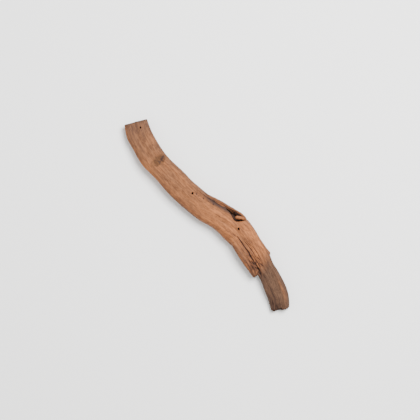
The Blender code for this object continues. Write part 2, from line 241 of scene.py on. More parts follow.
STUB_STATIONS = [
    Station(168.0, 11.0, 3.0, 8.0, 9.0, 2.6, 0.0, 0.0),
    Station(179.0, 8.6, 5.2, 5.6, 13.2, 2.6, 0.0, 0.0),
    Station(190.0, 7.2, 6.0, 4.4, 15.0, 2.8, 0.0, 0.0),
    Station(201.0, 6.2, 6.5, 4.2, 15.0, 3.0, 0.0, 0.0),
    Station(213.5, 4.8, 6.6, 4.8, 13.6, 3.0, 0.0, 0.0),
    Station(224.0, 3.8, 6.0, 5.4, 11.8, 2.8, 0.0, 0.0),
    Station(230.5, 2.7, 5.3, 6.0, 10.0, 2.6, 0.0, 0.0),
    Station(235.4, 1.6, 4.2, 6.8, 7.4, 2.4, 0.0, 0.0),
]

# The shallow hollows in the upper side, with their depths in millimetres.
HOLLOWS = [
    (Spot(54.8, -1.4, 6.0, 4.0, 1.0), 0.7),
    (Spot(281.0, -6.0, 9.0, 6.5, 1.0), 3.4),
    (Spot(214.0, 5.6, 12.0, 2.4, 1.0), 0.8),
]

# Where the wood is torn to coarse fibres, where it is stained, and the recess at the lobe's end that gets
# painted shade.
FORK_TEAR = Spot(226.0, 7.5, 14.0, 8.0)
CORNER_TEAR = Spot(283.0, -6.0, 9.0, 7.0)
STAIN = Spot(54.6, -4.0, 6.0, 10.0)
CORNER_RECESS_SHADE = Spot(281.0, -5.0, 10.0, 7.0)

# Stretches of the root, by the outline's X.
TOP_END = Band(30.0, 2.0)
BELOW_TOP_END = Band(50.0, 90.0)
TOP_RIM = Band(90.0, 70.0)
PALING_TOP = Band(-5.0, 60.0)
PALING_MIDDLE = Band(125.0, 165.0)
COARSER_GRAIN = Band(110.0, 230.0)
PEELED_START = Band(114.0, 134.0)
PEELED_END = Band(174.0, 167.0)
BESIDE_STUB = Band(178.0, 205.0)
LOWER_HALF = Band(172.0, 200.0)
BELOW_WINDOW = Band(185.0, 205.0)
STUB_END = Band(212.0, 232.0)
GREYING = Band(214.0, 242.0)
LOBE = Band(228.0, 246.0)
SMOOTHER_LOBE = Band(236.0, 256.0)
ABOVE_LOBE = Band(250.0, 236.0)

# Sides of the body, by the share across it, from -1 at the left to 1 at the right.
LEFT_HALF = Band(0.1, -1.0)
LEFT_SIDE = Band(0.0, -0.8)
LEFT_FLANK = Band(-0.3, -0.85)
LEFT_RIM = Band(-0.86, -0.95)
RIGHT_SIDE = Band(0.62, 1.0)
RIGHT_FLANK = Band(0.45, 0.85)
LEFT_OF_MIDDLE = Band(0.6, -0.6)

# The upper part of the wood, by height.
UPPER_SIDE = Band(4.0, 9.0)

CRACKS = [
    Crack(
        ((181.0, 12.6), (190.8, 12.5), (199.3, 12.4), (207.4, 12.0), (215.9, 10.7), (226.0, 9.6),
         (237.5, 8.2)),
        1.3, 5.5, 1.2,
    ),
    Crack(
        ((187.3, 16.6), (197.1, 16.4), (204.8, 16.5), (210.8, 16.2), (216.0, 15.2), (222.5, 14.4)),
        0.85, 2.8, 1.0,
    ),
    Crack(
        ((196.3, 20.4), (204.4, 20.0), (212.1, 19.9), (219.0, 18.9), (226.9, 17.3), (231.2, 15.9)),
        0.75, 2.5, 1.4,
    ),
    Crack(((208.0, 14.2), (216.0, 13.0), (226.0, 12.2)), 0.55, 1.8, 1.2),
    Crack(((209.0, 7.6), (218.0, 6.4), (227.0, 5.2)), 0.5, 1.8, 1.2),
    Crack(
        ((104.0, 9.2), (112.0, 10.6), (121.0, 12.6), (130.0, 15.6), (138.0, 18.8), (145.0, 22.2)),
        0.6, 2.2, 1.4,
    ),
    Crack(((252.0, 6.2), (260.0, 5.0), (268.0, 2.6), (276.0, -1.2)), 0.5, 1.8, 1.0),
    Crack(((217.0, 13.4), (224.0, 12.9), (231.0, 11.6)), 0.85, 2.6, 1.0),
    Crack(((221.0, 5.9), (227.0, 4.7), (233.0, 3.0)), 0.7, 2.2, 1.2),
    Crack(((212.0, 3.0), (219.0, 2.2), (226.0, 1.2)), 0.55, 1.7, 1.0),
    Crack(((184.0, 13.6), (191.0, 13.1), (198.0, 12.3), (205.0, 11.6)), 1.1, 3.6, 1.0),
    Crack(((228.0, 9.3), (233.0, 8.3), (238.0, 6.8), (241.5, 5.2)), 1.8, 6.5, 0.9),
    Crack(((209.0, 10.8), (213.5, 10.5), (218.5, 9.8)), 1.4, 4.5, 1.0),
    Crack(((217.5, 8.1), (221.5, 8.2), (226.0, 8.9)), 1.1, 3.6, 1.0),
    Crack(((226.0, 6.9), (229.0, 7.7), (232.0, 9.2)), 1.0, 3.2, 1.0),
    Crack(((225.0, 13.8), (228.5, 14.7), (232.0, 15.4)), 1.0, 3.0, 1.0),
    Crack(((218.0, 16.2), (221.5, 16.6), (225.0, 16.9)), 0.8, 2.6, 1.0),
    Crack(((268.0, -0.6), (274.0, -3.4), (281.5, -7.4)), 1.1, 3.2, 1.2),
    Crack(((261.0, -0.4), (267.0, -2.2), (273.0, -5.2)), 0.8, 2.4, 1.2),
    Crack(((261.0, 4.4), (268.0, 3.4), (275.0, 1.2)), 0.7, 2.0, 1.1),
    Crack(((276.0, -1.2), (281.0, -4.2), (286.5, -7.6)), 0.9, 2.8, 1.4),
    Crack(((188.0, 17.6), (195.0, 18.1), (201.0, 18.3), (208.0, 18.0)), 0.7, 2.4, 1.0),
]

SPECKS = [
    Speck(*row)
    for row in (
        (55.7, -0.8, 2.3, 0.52), (57.0, -4.2, 2.0, 0.5), (54.3, 2.4, 1.8, 0.46), (55.5, -0.4, 0.95, 1.0),
        (55.1, 1.0, 0.75, 0.8), (56.3, -1.9, 0.7, 0.75), (56.7, -3.3, 0.8, 0.85), (54.2, 2.6, 0.6, 0.6),
        (53.6, 4.2, 0.8, 0.5), (57.2, -5.0, 0.6, 0.5), (52.6, -5.6, 0.8, 0.4), (51.3, -10.6, 1.4, 0.35),
        (57.0, -12.0, 1.3, 0.35), (58.6, 1.8, 0.8, 0.35), (35.6, 2.1, 0.9, 0.6), (22.4, 3.9, 0.7, 0.3),
        (66.0, 3.5, 0.6, 0.35), (108.8, -1.2, 0.8, 0.5), (114.3, 6.6, 1.0, 0.95), (117.6, 7.2, 0.8, 0.9),
        (123.6, 9.8, 1.0, 0.9), (136.4, 14.6, 1.0, 0.9), (129.4, 12.0, 0.7, 0.8), (152.6, 10.9, 0.9, 0.6),
        (147.7, 2.4, 0.8, 0.5), (141.4, 19.6, 0.8, 0.5), (164.0, 3.2, 0.9, 0.5), (172.8, 8.4, 0.8, 0.45),
        (187.4, 5.2, 1.0, 0.5), (129.0, -4.2, 0.7, 0.4), (90.2, -9.6, 0.7, 0.35),
    )
]

HOLES = [Hole(9.8, 3.5, 1.15, 4.0), Hole(110.5, 3.3, 1.35, 4.5), Hole(178.3, 20.0, 1.45, 4.5)]

# The window's inner edge on the upper side, where the painted shade of its inside ends, and the height of
# its floor.
WINDOW_EDGE = [
    (142.0, 31.0), (145.0, 24.4), (150.0, 23.2), (156.5, 23.4), (161.4, 22.4), (166.2, 21.7),
    (169.8, 22.4), (172.8, 27.1), (176.2, 33.7), (178.0, 44.0),
]
WINDOW_END = 177.2
WINDOW_FLOOR = 4.6

BODY_CHECKS = (
    CheckField(110, 8.0, 190.0, 0.0, 1.0, 6.0, 22.0, 0.22, 0.9),
    CheckField(120, 165.0, 245.0, 0.0, 1.0, 8.0, 30.0, 0.45, 1.1),
    CheckField(22, 188.0, 240.0, 0.44, 0.72, 8.0, 22.0, 1.2, 1.4),
    CheckField(220, 232.0, 306.0, 0.0, 1.0, 3.0, 11.0, 0.26, 0.9),
    CheckField(30, 282.0, 306.0, 0.5, 0.78, 4.0, 12.0, 0.8, 1.6),
)
STUB_CHECKS = (
    CheckField(16, 20.0, 66.0, 0.25, 0.75, 6.0, 18.0, 0.5, 1.2),
    CheckField(8, 46.0, 69.0, 0.22, 0.78, 5.0, 11.0, 1.1, 1.6),
)

# The low waves round the limbs: strength, how many, drift along the grain, and phase.
BROAD_WAVES = ((0.55, 7, 1.3, 0.6), (0.35, 11, -0.9, 2.1), (0.30, 3, 2.2, 0.0))

# What is added to a limb's seed for its checks and for its torn ends.
CHECK_SEED = 7
TEAR_SEED = 20

# What the mesh carries for its finish, three numbers to each attribute. The first zone is painted shade in
# the cracks, holes and window; the third mark is paling with a painted highlight and painted shade; the
# first wear number is partly painted shade.
MARKS = {
    "zones": ("recess_shade", "weathered", "stained"),
    "marks": ("peeled", "coarse", "paling_and_light"),
    "wear_and_shade": ("aged_and_shaded", "speck", "cut"),
}

# How many points are looked up at once, how many steps a crack's line of painted shade has, and how
# far beyond it points are looked at, in millimetres.
BATCH = 4000
CRACK_STEPS = 60
CRACK_MARGIN = 3.0


def smooth_values(knots: Sequence[float], values: Sequence, at: np.ndarray) -> np.ndarray:
    """Read a smooth curve through knots.

    Args:
        knots: Rising positions of the knots.
        values: One number or row of numbers for each knot.
        at: Positions to read.

    Returns:
        The curve's values at the positions.
    """
    knots = np.asarray(knots, dtype=float)
    values = np.asarray(values, dtype=float)
    slopes = np.gradient(values, knots, axis=0)
    spans = np.clip(np.searchsorted(knots, at, side="right") - 1, 0, len(knots) - 2)
    shape = (-1,) + (1,) * (values.ndim - 1)
    width = (knots[spans + 1] - knots[spans]).reshape(shape)
    u = (at - knots[spans]).reshape(shape) / width
    start, end = values[spans], values[spans + 1]
    start_slope, end_slope = slopes[spans] * width, slopes[spans + 1] * width
    return (
        (2 * u**3 - 3 * u**2 + 1) * start
        + (u**3 - 2 * u**2 + u) * start_slope
        + (3 * u**2 - 2 * u**3) * end
        + (u**3 - u**2) * end_slope
    )


def course_length(points: Sequence[Sequence[float]]) -> np.ndarray:
    """Distance along a course of points to each of them."""
    steps = np.linalg.norm(np.diff(np.asarray(points, dtype=float), axis=0), axis=1)
    return np.concatenate([[0.0], np.cumsum(steps)])


def follow(course: Sequence[Sequence[float]], count: int) -> tuple[np.ndarray, np.ndarray, np.ndarray]:
    """Step evenly along a smooth course.

    Args:
        course: The course's points.
        count: How many steps.

    Returns:
        For each step the distance along the course, the place, and the heading as a unit vector.
    """
    knots = course_length(course)
    at = np.linspace(0.0, knots[-1], count)
    path = smooth_values(knots, course, at)
    ahead = np.gradient(path, axis=0)
    return at, path, ahead / np.linalg.norm(ahead, axis=1)[:, None]


def smooth_step(low: float, high: float, at: np.ndarray) -> np.ndarray:
    """0 below low, 1 above high, and a smooth rise between."""
    u = np.clip((at - low) / (high - low), 0.0, 1.0)
    return u * u * (3 - 2 * u)


@dataclass(frozen=True)
class LatticeNoise:
    """Smooth noise on a lattice of seeded values, from -1 to 1."""

    seed: int
    size: int = 64

    def at(self, *coordinates: np.ndarray) -> np.ndarray:
        """Read the noise in two or three dimensions.

        Args:
            coordinates: One array for each dimension, in cells.

        Returns:
            The noise at those places.
        """
        values = np.random.default_rng(self.seed).uniform(-1, 1, (self.size,) * len(coordinates))
        cells, weights = [], []
        for coordinate in coordinates:
            cell = np.floor(coordinate).astype(int)
            part = coordinate - cell
            cells.append(cell)
            weights.append(part * part * (3 - 2 * part))
        total = np.zeros(np.broadcast(*coordinates).shape)
        for corner in range(2 ** len(coordinates)):
            share = np.ones_like(total)
            index = []
            for axis, (cell, weight) in enumerate(zip(cells, weights)):
                upper = corner >> axis & 1
                index.append((cell + upper) % self.size)
                share = share * (weight if upper else 1 - weight)
            total += share * values[tuple(index)]
        return total


def bridge(outer: int, inner: int, sides: int) -> Faces:
    """Quads between two closed rings of points, by the number of each ring's first point."""
    onward = [(corner + 1) % sides for corner in range(sides)]
    return [(outer + here, outer + there, inner + there, inner + here) for here, there in enumerate(onward)]


def tube(rings: int, sides: int) -> Faces:
    """Quads along a tube of closed rings, whose points are numbered from 0."""
    return [face for ring in range(rings - 1) for face in bridge(ring * sides, (ring + 1) * sides, sides)]


def fan(outer: int, tip: int, sides: int) -> Faces:
    """Triangles from a closed ring of points to one point."""
    return [(outer + corner, outer + (corner + 1) % sides, tip) for corner in range(sides)]


def add_object(name: str, data: bpy.types.ID) -> bpy.types.Object:
    """Put a new object in the scene.

    Args:
        name: The object's name.
        data: Its mesh, light or camera.

    Returns:
        The new object.
    """
    thing = bpy.data.objects.new(name, data)
    bpy.context.scene.collection.objects.link(thing)
    return thing


def new_mesh(name: str, points: np.ndarray, faces: Iterable[Sequence[int]]) -> bpy.types.Mesh:
    """Make a mesh from points in the outline's millimetres.

    Args:
        name: The mesh's name.
        points: One row of x, y, z for each vertex.
        faces: Vertex numbers of each face.

    Returns:
        The new mesh, in the frame's metres.
    """
    mesh = bpy.data.meshes.new(name)
    placed = (np.asarray(points) - FOOTPRINT_SHIFT) * MM
    mesh.from_pydata(placed.tolist(), [], [list(map(int, face)) for face in faces])
    return mesh


def new_piece(name: str, points: np.ndarray, faces: Iterable[Sequence[int]]) -> bpy.types.Object:
    """Make a closed mesh object whose faces point out.

    Args:
        name: The piece's name.
        points: One row of x, y, z for each vertex, in the outline's millimetres.
        faces: Vertex numbers of each face.

    Returns:
        The new object.
    """
    mesh = new_mesh(name, points, faces)
    turn_outwards(mesh)
    return add_object(name, mesh)


def turn_outwards(mesh: bpy.types.Mesh) -> None:
    """Recalculate a closed mesh's normals to point out.

    Args:
        mesh: A closed mesh.
    """
    shape = bmesh.new()
    shape.from_mesh(mesh)
    bmesh.ops.recalc_face_normals(shape, faces=shape.faces[:])
    shape.to_mesh(mesh)
    shape.free()


def outline_points(mesh: bpy.types.Mesh) -> np.ndarray:
    """A mesh's vertices in the outline's millimetres.

    Args:
        mesh: The mesh, in the frame's metres.

    Returns:
        One row of x, y, z for each vertex.
    """
    flat = np.empty(len(mesh.vertices) * 3)
    mesh.vertices.foreach_get("co", flat)
    return flat.reshape(-1, 3) / MM + FOOTPRINT_SHIFT


def write_layer(mesh: bpy.types.Mesh, name: str, values: np.ndarray) -> None:
    """Store one number or one vector for each vertex.

    Args:
        mesh: The mesh that carries the values.
        name: The attribute's name.
        values: One number or one row of three for each vertex.
    """
    kind, member = ("FLOAT", "value") if values.ndim == 1 else ("FLOAT_VECTOR", "vector")
    layer = mesh.attributes.get(name) or mesh.attributes.new(name, kind, "POINT")
    layer.data.foreach_set(member, np.ascontiguousarray(values, dtype=np.float32).ravel())


@dataclass
class Looks:
    """What the finish reads at each vertex: one row each, or one row for the whole piece.

    The grain is its own along, across and height in millimetres, and the painted shade of the cracks and
    checks is one number. MARKS names the three numbers of each of the others.
    """

    grain: np.ndarray
    zones: Sequence | np.ndarray = (0.0, 0.0, 0.0)
    marks: Sequence | np.ndarray = (0.0, 0.0, 0.0)
    wear_and_shade: Sequence | np.ndarray = (0.0, 0.0, 0.0)
    crack_shade: float | np.ndarray = 0.0

    def write(self, mesh: bpy.types.Mesh) -> None:
        """Store them on a mesh.

        Args:
            mesh: The finished mesh of a piece.
        """
        count = len(mesh.vertices)
        write_layer(mesh, "grain", self.grain)
        write_layer(mesh, "crack_shade", np.broadcast_to(self.crack_shade, (count,)))
        for name, values in (("zones", self.zones), ("marks", self.marks), ("wear_and_shade", self.wear_and_shade)):
            write_layer(mesh, name, np.broadcast_to(values, (count, 3)))


def hollowed(
    x: np.ndarray, y: np.ndarray, height: np.ndarray, low: np.ndarray, thick: np.ndarray
) -> np.ndarray:
    """Press the shallow hollows into the upper side of a limb.

    Args:
        x: The points' places along the outline.
        y: The points' places across the outline.
        height: Their heights before.
        low: Height of the limb's underside there.
        thick: The limb's thickness there.

    Returns:
        Their heights after.
    """
    middle = low + thick * 0.5
    rise = np.clip((height - middle) / (thick * 0.5) * 1.6, 0, 1)
    return height - hollow_depth(x, y) * rise


@dataclass
class Limb:
    """A length of wood lofted through stations, torn at its ends."""

    name: str
    stations: list[Station]
    columns: int
    row_step: float
    start_tear: Tear | None
    finish_tear: Tear | None
    seed: int
    checks: tuple[CheckField, ...] = ()
    cap_rings: int = 22
    along: np.ndarray = field(init=False)
    rows: np.ndarray = field(init=False)
    heading: np.ndarray = field(init=False)

    def __post_init__(self) -> None:
        """Read the stations at even steps along the grain."""
        values = np.array([station.values() for station in self.stations])
        knots = course_length(values[:, :2])
        self.along = np.linspace(0.0, knots[-1], max(8, int(knots[-1] / self.row_step)))
        self.rows = smooth_values(knots, values, self.along)
        self.heading = np.unwrap(np.arctan2(np.gradient(self.rows[:, 1]), np.gradient(self.rows[:, 0])))

    def section(self, row: np.ndarray) -> tuple[np.ndarray, np.ndarray]:
        """Across and height of one section's points, from the keel round by the right side.

        Args:
            row: One row of the stations' numbers.

        Returns:
            Across and height of each point, in millimetres.
        """
        half, low, thick, square, crown, keel = row[2:8]
        turn = np.linspace(-math.pi / 2, math.pi / 2, 240)
        cosine, sine = np.abs(np.cos(turn)), np.sin(turn)
        power = np.where(sine > 0, 2.0 / square, 2.0 / UNDERSIDE_SQUARENESS)
        halves = []
        for side in (1.0, -1.0):
            across = side * cosine**power
            shift = np.where(sine > 0, crown, keel) * np.abs(sine) * (1 - across**2) * 0.8
            across = (across + shift) * half
            height = low + thick * 0.5 * (1 + np.sign(sine) * np.abs(sine) ** power)
            length = np.concatenate([[0.0], np.cumsum(np.hypot(np.diff(across), np.diff(height)))])
            even = np.linspace(0.0, length[-1], self.columns // 2 + 1)
            halves.append((np.interp(even, length, across), np.interp(even, length, height)))
        (right_across, right_height), (left_across, left_height) = halves
        across = np.concatenate([right_across, left_across[-2:0:-1]])
        height = np.concatenate([right_height, left_height[-2:0:-1]])
        return across, height

    def broad_relief(self, along: float) -> np.ndarray:
        """The low ridges and furrows that the frame's solid has too.

        Args:
            along: Distance along the grain.

        Returns:
            Millimetres outwards for each column.
        """
        turn = 2 * math.pi * np.arange(self.columns) / self.columns
        depth = 0.18 + 0.34 * np.clip((along - 90.0) / 110.0, 0.0, 1.0)
        drift = along / 46.0
        waves = np.zeros(self.columns)
        for strength, count, speed, phase in BROAD_WAVES:
            waves += strength * np.sin(count * turn + speed * drift + phase)
        return depth * waves

    def fine_relief(
        self, across: np.ndarray, height: np.ndarray, along: np.ndarray, rough: np.ndarray
    ) -> np.ndarray:
        """Fibres and fine ridges, read in the wood's own directions.

        Args:
            across: Rows by columns, sideways from the middle line.
            height: Rows by columns, above the surface that the root rests on.
            along: Rows by columns, distance along the grain.
            rough: Rows by columns, 1 where the wood is torn to coarse fibres.

        Returns:
            Millimetres outwards, rows by columns.
        """

        def layer(number: int, long: float, short: float) -> np.ndarray:
            """One layer of noise, with cells of these lengths along and across the grain."""
            return LatticeNoise(self.seed + number).at(along / long, across / short, height / short)

        coarse = 0.40 + 0.60 * COARSER_GRAIN.at(along)
        ridges = layer(1, 28.0, 1.7)
        fibres = layer(2, 9.0, 0.85)
        dimples = layer(3, 7.0, 5.0)
        chunks = layer(4, 6.0, 2.6)
        splits = layer(5, 8.0, 2.9)
        ridge_height = coarse * (0.26 - 0.15 * SMOOTHER_LOBE.at(along))
        relief = ridge_height * ridges + (0.05 + 0.09 * coarse) * fibres + 0.12 * dimples
        torn = 0.7 * chunks - 2.0 * (1 - smooth_step(0.02, 0.17, np.abs(splits)))
        return relief + rough * torn

    def check_relief(self, crack_shades: np.ndarray) -> np.ndarray:
        """Press the short drying checks into the relief.

        Args:
            crack_shades: Rows by columns, raised towards 1 where a check runs.

        Returns:
            Depth of the checks in millimetres, rows by columns.
        """
        rng = np.random.default_rng(self.seed + CHECK_SEED)
        depth = np.zeros_like(crack_shades)
        columns = np.arange(self.columns)
        for area in self.checks:
            for _ in range(area.count):
                middle = rng.uniform(area.start, area.finish)
                length = rng.uniform(area.shortest, area.longest) / 2
                width = rng.uniform(0.55, 1.0) * area.widest
                deep = rng.uniform(0.35, 1.0) * area.deepest
                start = rng.uniform(area.from_turn, area.to_turn) * self.columns
                drift = rng.uniform(-0.06, 0.06)
                wander = rng.uniform(0.2, 0.7)
                phase = rng.uniform(0.0, 6.0)
                for row in np.nonzero(np.abs(self.along - middle) < length)[0]:
                    run = self.along[row] - middle
                    reach = 1 - (run / length) ** 2
                    place = start + drift * run + wander * math.sin(run / 1.9 + phase)
                    gap = np.abs((columns - place + self.columns / 2) % self.columns - self.columns / 2)
                    shape = np.clip(1 - gap / width, 0, 1) * reach
                    depth[row] = np.maximum(depth[row], deep * shape)
                    # Painted shade along the check.
                    crack_shades[row] = np.maximum(crack_shades[row], shape * min(1.0, 0.4 + deep))
        return depth

    def tear(self, side: Side) -> Tear | None:
        """How one end is torn, if it is."""
        return self.start_tear if side is Side.START else self.finish_tear

    def torn_reach(self, side: Side, across: np.ndarray, height: np.ndarray) -> np.ndarray:
        """How far a torn end runs past its mean.

        Args:
            side: The end, which is a torn one.
            across: Sideways places of points of its face.
            height: Their heights.

        Returns:
            Millimetres past the mean for each point.
        """
        tear, seed = self.tear(side), self.seed + TEAR_SEED + 5 * side.value
        chunks = LatticeNoise(seed).at(across / 3.9, height / 3.0)
        steps = LatticeNoise(seed + 1).at(across / 1.3, height / 1.3)
        fibres = LatticeNoise(seed + 2).at(across / 0.6, height / 0.6)
        back = tear.chamfer * smooth_step(tear.chamfer_from, tear.chamfer_to, across)
        stepped = chunks + 0.45 * np.sign(steps) * np.abs(steps) ** 0.4
        return tear.chunks * stepped + tear.fibres * fibres - back

    def build(self) -> bpy.types.Object:
        """Loft the limb, with torn caps at its ends, as one closed mesh.

        Returns:
            The limb as an object.
        """
        count = len(self.along)
        across = np.empty((count, self.columns))
        height = np.empty((count, self.columns))
        for index, row in enumerate(self.rows):
            flat_across, flat_height = self.section(row)
            middle = row[3] + row[4] * 0.5
            radius = np.hypot(flat_across, flat_height - middle)
            run = self.along[index]
            swell = 1.0 + 0.012 * math.sin(run / 13.0) + 0.010 * math.sin(run / 7.1 + 1.0)
            grown = swell * (radius + self.broad_relief(run)) / radius
            across[index] = flat_across * grown
            height[index] = middle + (flat_height - middle) * grown
        along = np.repeat(self.along[:, None], self.columns, axis=1)
        plain = self.place(across, height, along)
        rough = rough_share(plain[..., 0], plain[..., 1])
        outward = self.fine_relief(across, height, along, rough)
        # Painted shade where the relief dips; the checks raise it further.
        crack_shades = smooth_step(0.55, 1.5, -outward)
        outward = outward - self.check_relief(crack_shades)
        run_across = np.roll(across, -1, axis=1) - np.roll(across, 1, axis=1)
        run_height = np.roll(height, -1, axis=1) - np.roll(height, 1, axis=1)
        size = np.hypot(run_across, run_height)
        across = across + outward * run_height / size
        height = height - outward * run_across / size
        points = self.place(across, height, along)
        sheets = [points.reshape(-1, 3)]
        values = [crack_shades.ravel()]
        faces = tube(count, self.columns)
        offset = count * self.columns
        for side in Side:
            cap_points, cap_faces = self.cap(side, across, height, offset)
            sheets.append(cap_points)
            values.append(np.zeros(len(cap_points)))
            faces += cap_faces
            offset += len(cap_points)
        thing = new_piece(self.name, np.concatenate(sheets), faces)
        write_layer(thing.data, "crack_shade", np.concatenate(values))
        return thing

    def place(self, across: np.ndarray, height: np.ndarray, along: np.ndarray) -> np.ndarray:
        """Turn rows of section points into places in the outline's frame.

        Args:
            across: Rows by columns, sideways from the middle line.
            height: Rows by columns, above the surface that the root rests on.
            along: Rows by columns, distance along the grain.

        Returns:
            Rows by columns by 3.
        """
        slide = np.zeros_like(across)
        for side in Side:
            tear = self.tear(side)
            if tear is None:
                continue
            from_end = along if side is Side.START else self.along[-1] - along
            fade = np.clip(1 - from_end / tear.fade, 0, 1) ** 1.5
            slide += fade * self.torn_reach(side, across, height) * (-1 if side is Side.START else 1)
        heading = self.heading[:, None]
        points = np.empty(across.shape + (3,))
        points[..., 0] = self.rows[:, 0:1] + np.cos(heading) * slide - np.sin(heading) * across
        points[..., 1] = self.rows[:, 1:2] + np.sin(heading) * slide + np.cos(heading) * across
        low, thick = self.rows[:, 3:4], self.rows[:, 4:5]
        points[..., 2] = hollowed(points[..., 0], points[..., 1], height, low, thick)
        return points

    def cap(
        self, side: Side, across: np.ndarray, height: np.ndarray, offset: int
    ) -> tuple[np.ndarray, Faces]:
        """Close one end with rings that shrink to its middle and stand in and out like torn fibres.

        Args:
            side: The end that is closed.
            across: Rows by columns, sideways from the middle line.
            height: Rows by columns, above the surface that the root rests on.
            offset: Number of the cap's first point.

        Returns:
            The cap's points and faces.
        """
        row = 0 if side is Side.START else len(self.along) - 1
        tear = self.tear(side)
        direction = -1 if side is Side.START else 1
        low, thick = self.rows[row][3], self.rows[row][4]
        middle = low + thick * 0.5
        ahead = np.array([math.cos(self.heading[row]), math.sin(self.heading[row])])
        left = np.array([-ahead[1], ahead[0]])
        rings = []
        for ring in range(1, self.cap_rings):
            shrink = 1 - ring / self.cap_rings
            ring_across = across[row] * shrink
            ring_height = middle + (height[row] - middle) * shrink
            reach = np.zeros(self.columns)
            if tear is not None:
                reach = self.torn_reach(side, ring_across, ring_height) - 0.9 * tear.chunks * (1 - shrink)
            flat = self.rows[row][:2] + np.outer(ring_across, left) + np.outer(direction * reach, ahead)
            rings.append(np.column_stack([flat, hollowed(flat[:, 0], flat[:, 1], ring_height, low, thick)]))
        core = rings[-1].mean(axis=0)
        faces: Faces = []
        outer = row * self.columns
        for ring in range(self.cap_rings - 1):
            inner = offset + ring * self.columns
            faces += bridge(outer, inner, self.columns)
            outer = inner
        tip = offset + (self.cap_rings - 1) * self.columns
        return np.concatenate(rings + [core[None, :]]), faces + fan(outer, tip, self.columns)

    def coordinates(self, points: np.ndarray) -> tuple[np.ndarray, np.ndarray, np.ndarray]:
        """The grain's own coordinates of points, how deep they lie, and how near the sides.

        Args:
            points: One row of x, y, z for each point, in the outline's millimetres.

        Returns:
            Rows of along, across and height. The depth under the limb's smooth skin, which is negative
            outside it. The share across the limb, from -1 at its left side to 1 at its right side.
        """
        nearest = np.empty(len(points), dtype=int)
        for start in range(0, len(points), BATCH):
            part = points[start:start + BATCH, None, :2] - self.rows[None, :, :2]
            nearest[start:start + BATCH] = np.argmin((part**2).sum(axis=2), axis=1)
        row = self.rows[nearest]
        heading = self.heading[nearest]
        away = points[:, :2] - row[:, :2]
        along = self.along[nearest] + away[:, 0] * np.cos(heading) + away[:, 1] * np.sin(heading)
        across = -away[:, 0] * np.sin(heading) + away[:, 1] * np.cos(heading)
        middle = row[:, 3] + row[:, 4] * 0.5
        rise = (points[:, 2] - middle) / (row[:, 4] * 0.5)
        square = np.where(rise > 0, row[:, 5], UNDERSIDE_SQUARENESS)
        filled = (np.abs(across / row[:, 2]) ** square + np.abs(rise) ** square) ** (1 / square)
        radius = np.hypot(across, points[:, 2] - middle)
        depth = radius * (1 / np.maximum(filled, 1e-3) - 1)
        past_end = np.maximum(along - self.along[-1], -along)
        depth = np.where(past_end > 0.5, -1.0, depth)
        return np.column_stack([along, across, points[:, 2]]), depth, across / row[:, 2]


def rough_share(x: np.ndarray, y: np.ndarray) -> np.ndarray:
    """How far the wood is torn to coarse fibres, from 0 to about 1."""
    return 0.9 * FORK_TEAR.at(x, y) + 0.7 * CORNER_TEAR.at(x, y)


def hollow_depth(x: np.ndarray, y: np.ndarray) -> np.ndarray:
    """How deep the shallow hollows lie at points of the outline, in millimetres."""
    return sum(depth * spot.at(x, y) for spot, depth in HOLLOWS)


def upper_side(limb: Limb, x: float, y: float) -> float:
    """Height of a limb's upper side above a point.

    Args:
        limb: The limb.
        x: The point's place along the outline.
        y: Its place across the outline.

    Returns:
        The height in millimetres, or 0 beside the limb.
    """
    gaps = np.hypot(limb.rows[:, 0] - x, limb.rows[:, 1] - y)
    row = limb.rows[int(np.argmin(gaps))]
    across = float(gaps.min()) / row[2]
    if across > 0.95:
        return 0.0
    return row[3] + row[4] * 0.5 * (1 + (1 - across ** row[5]) ** (1 / row[5]))


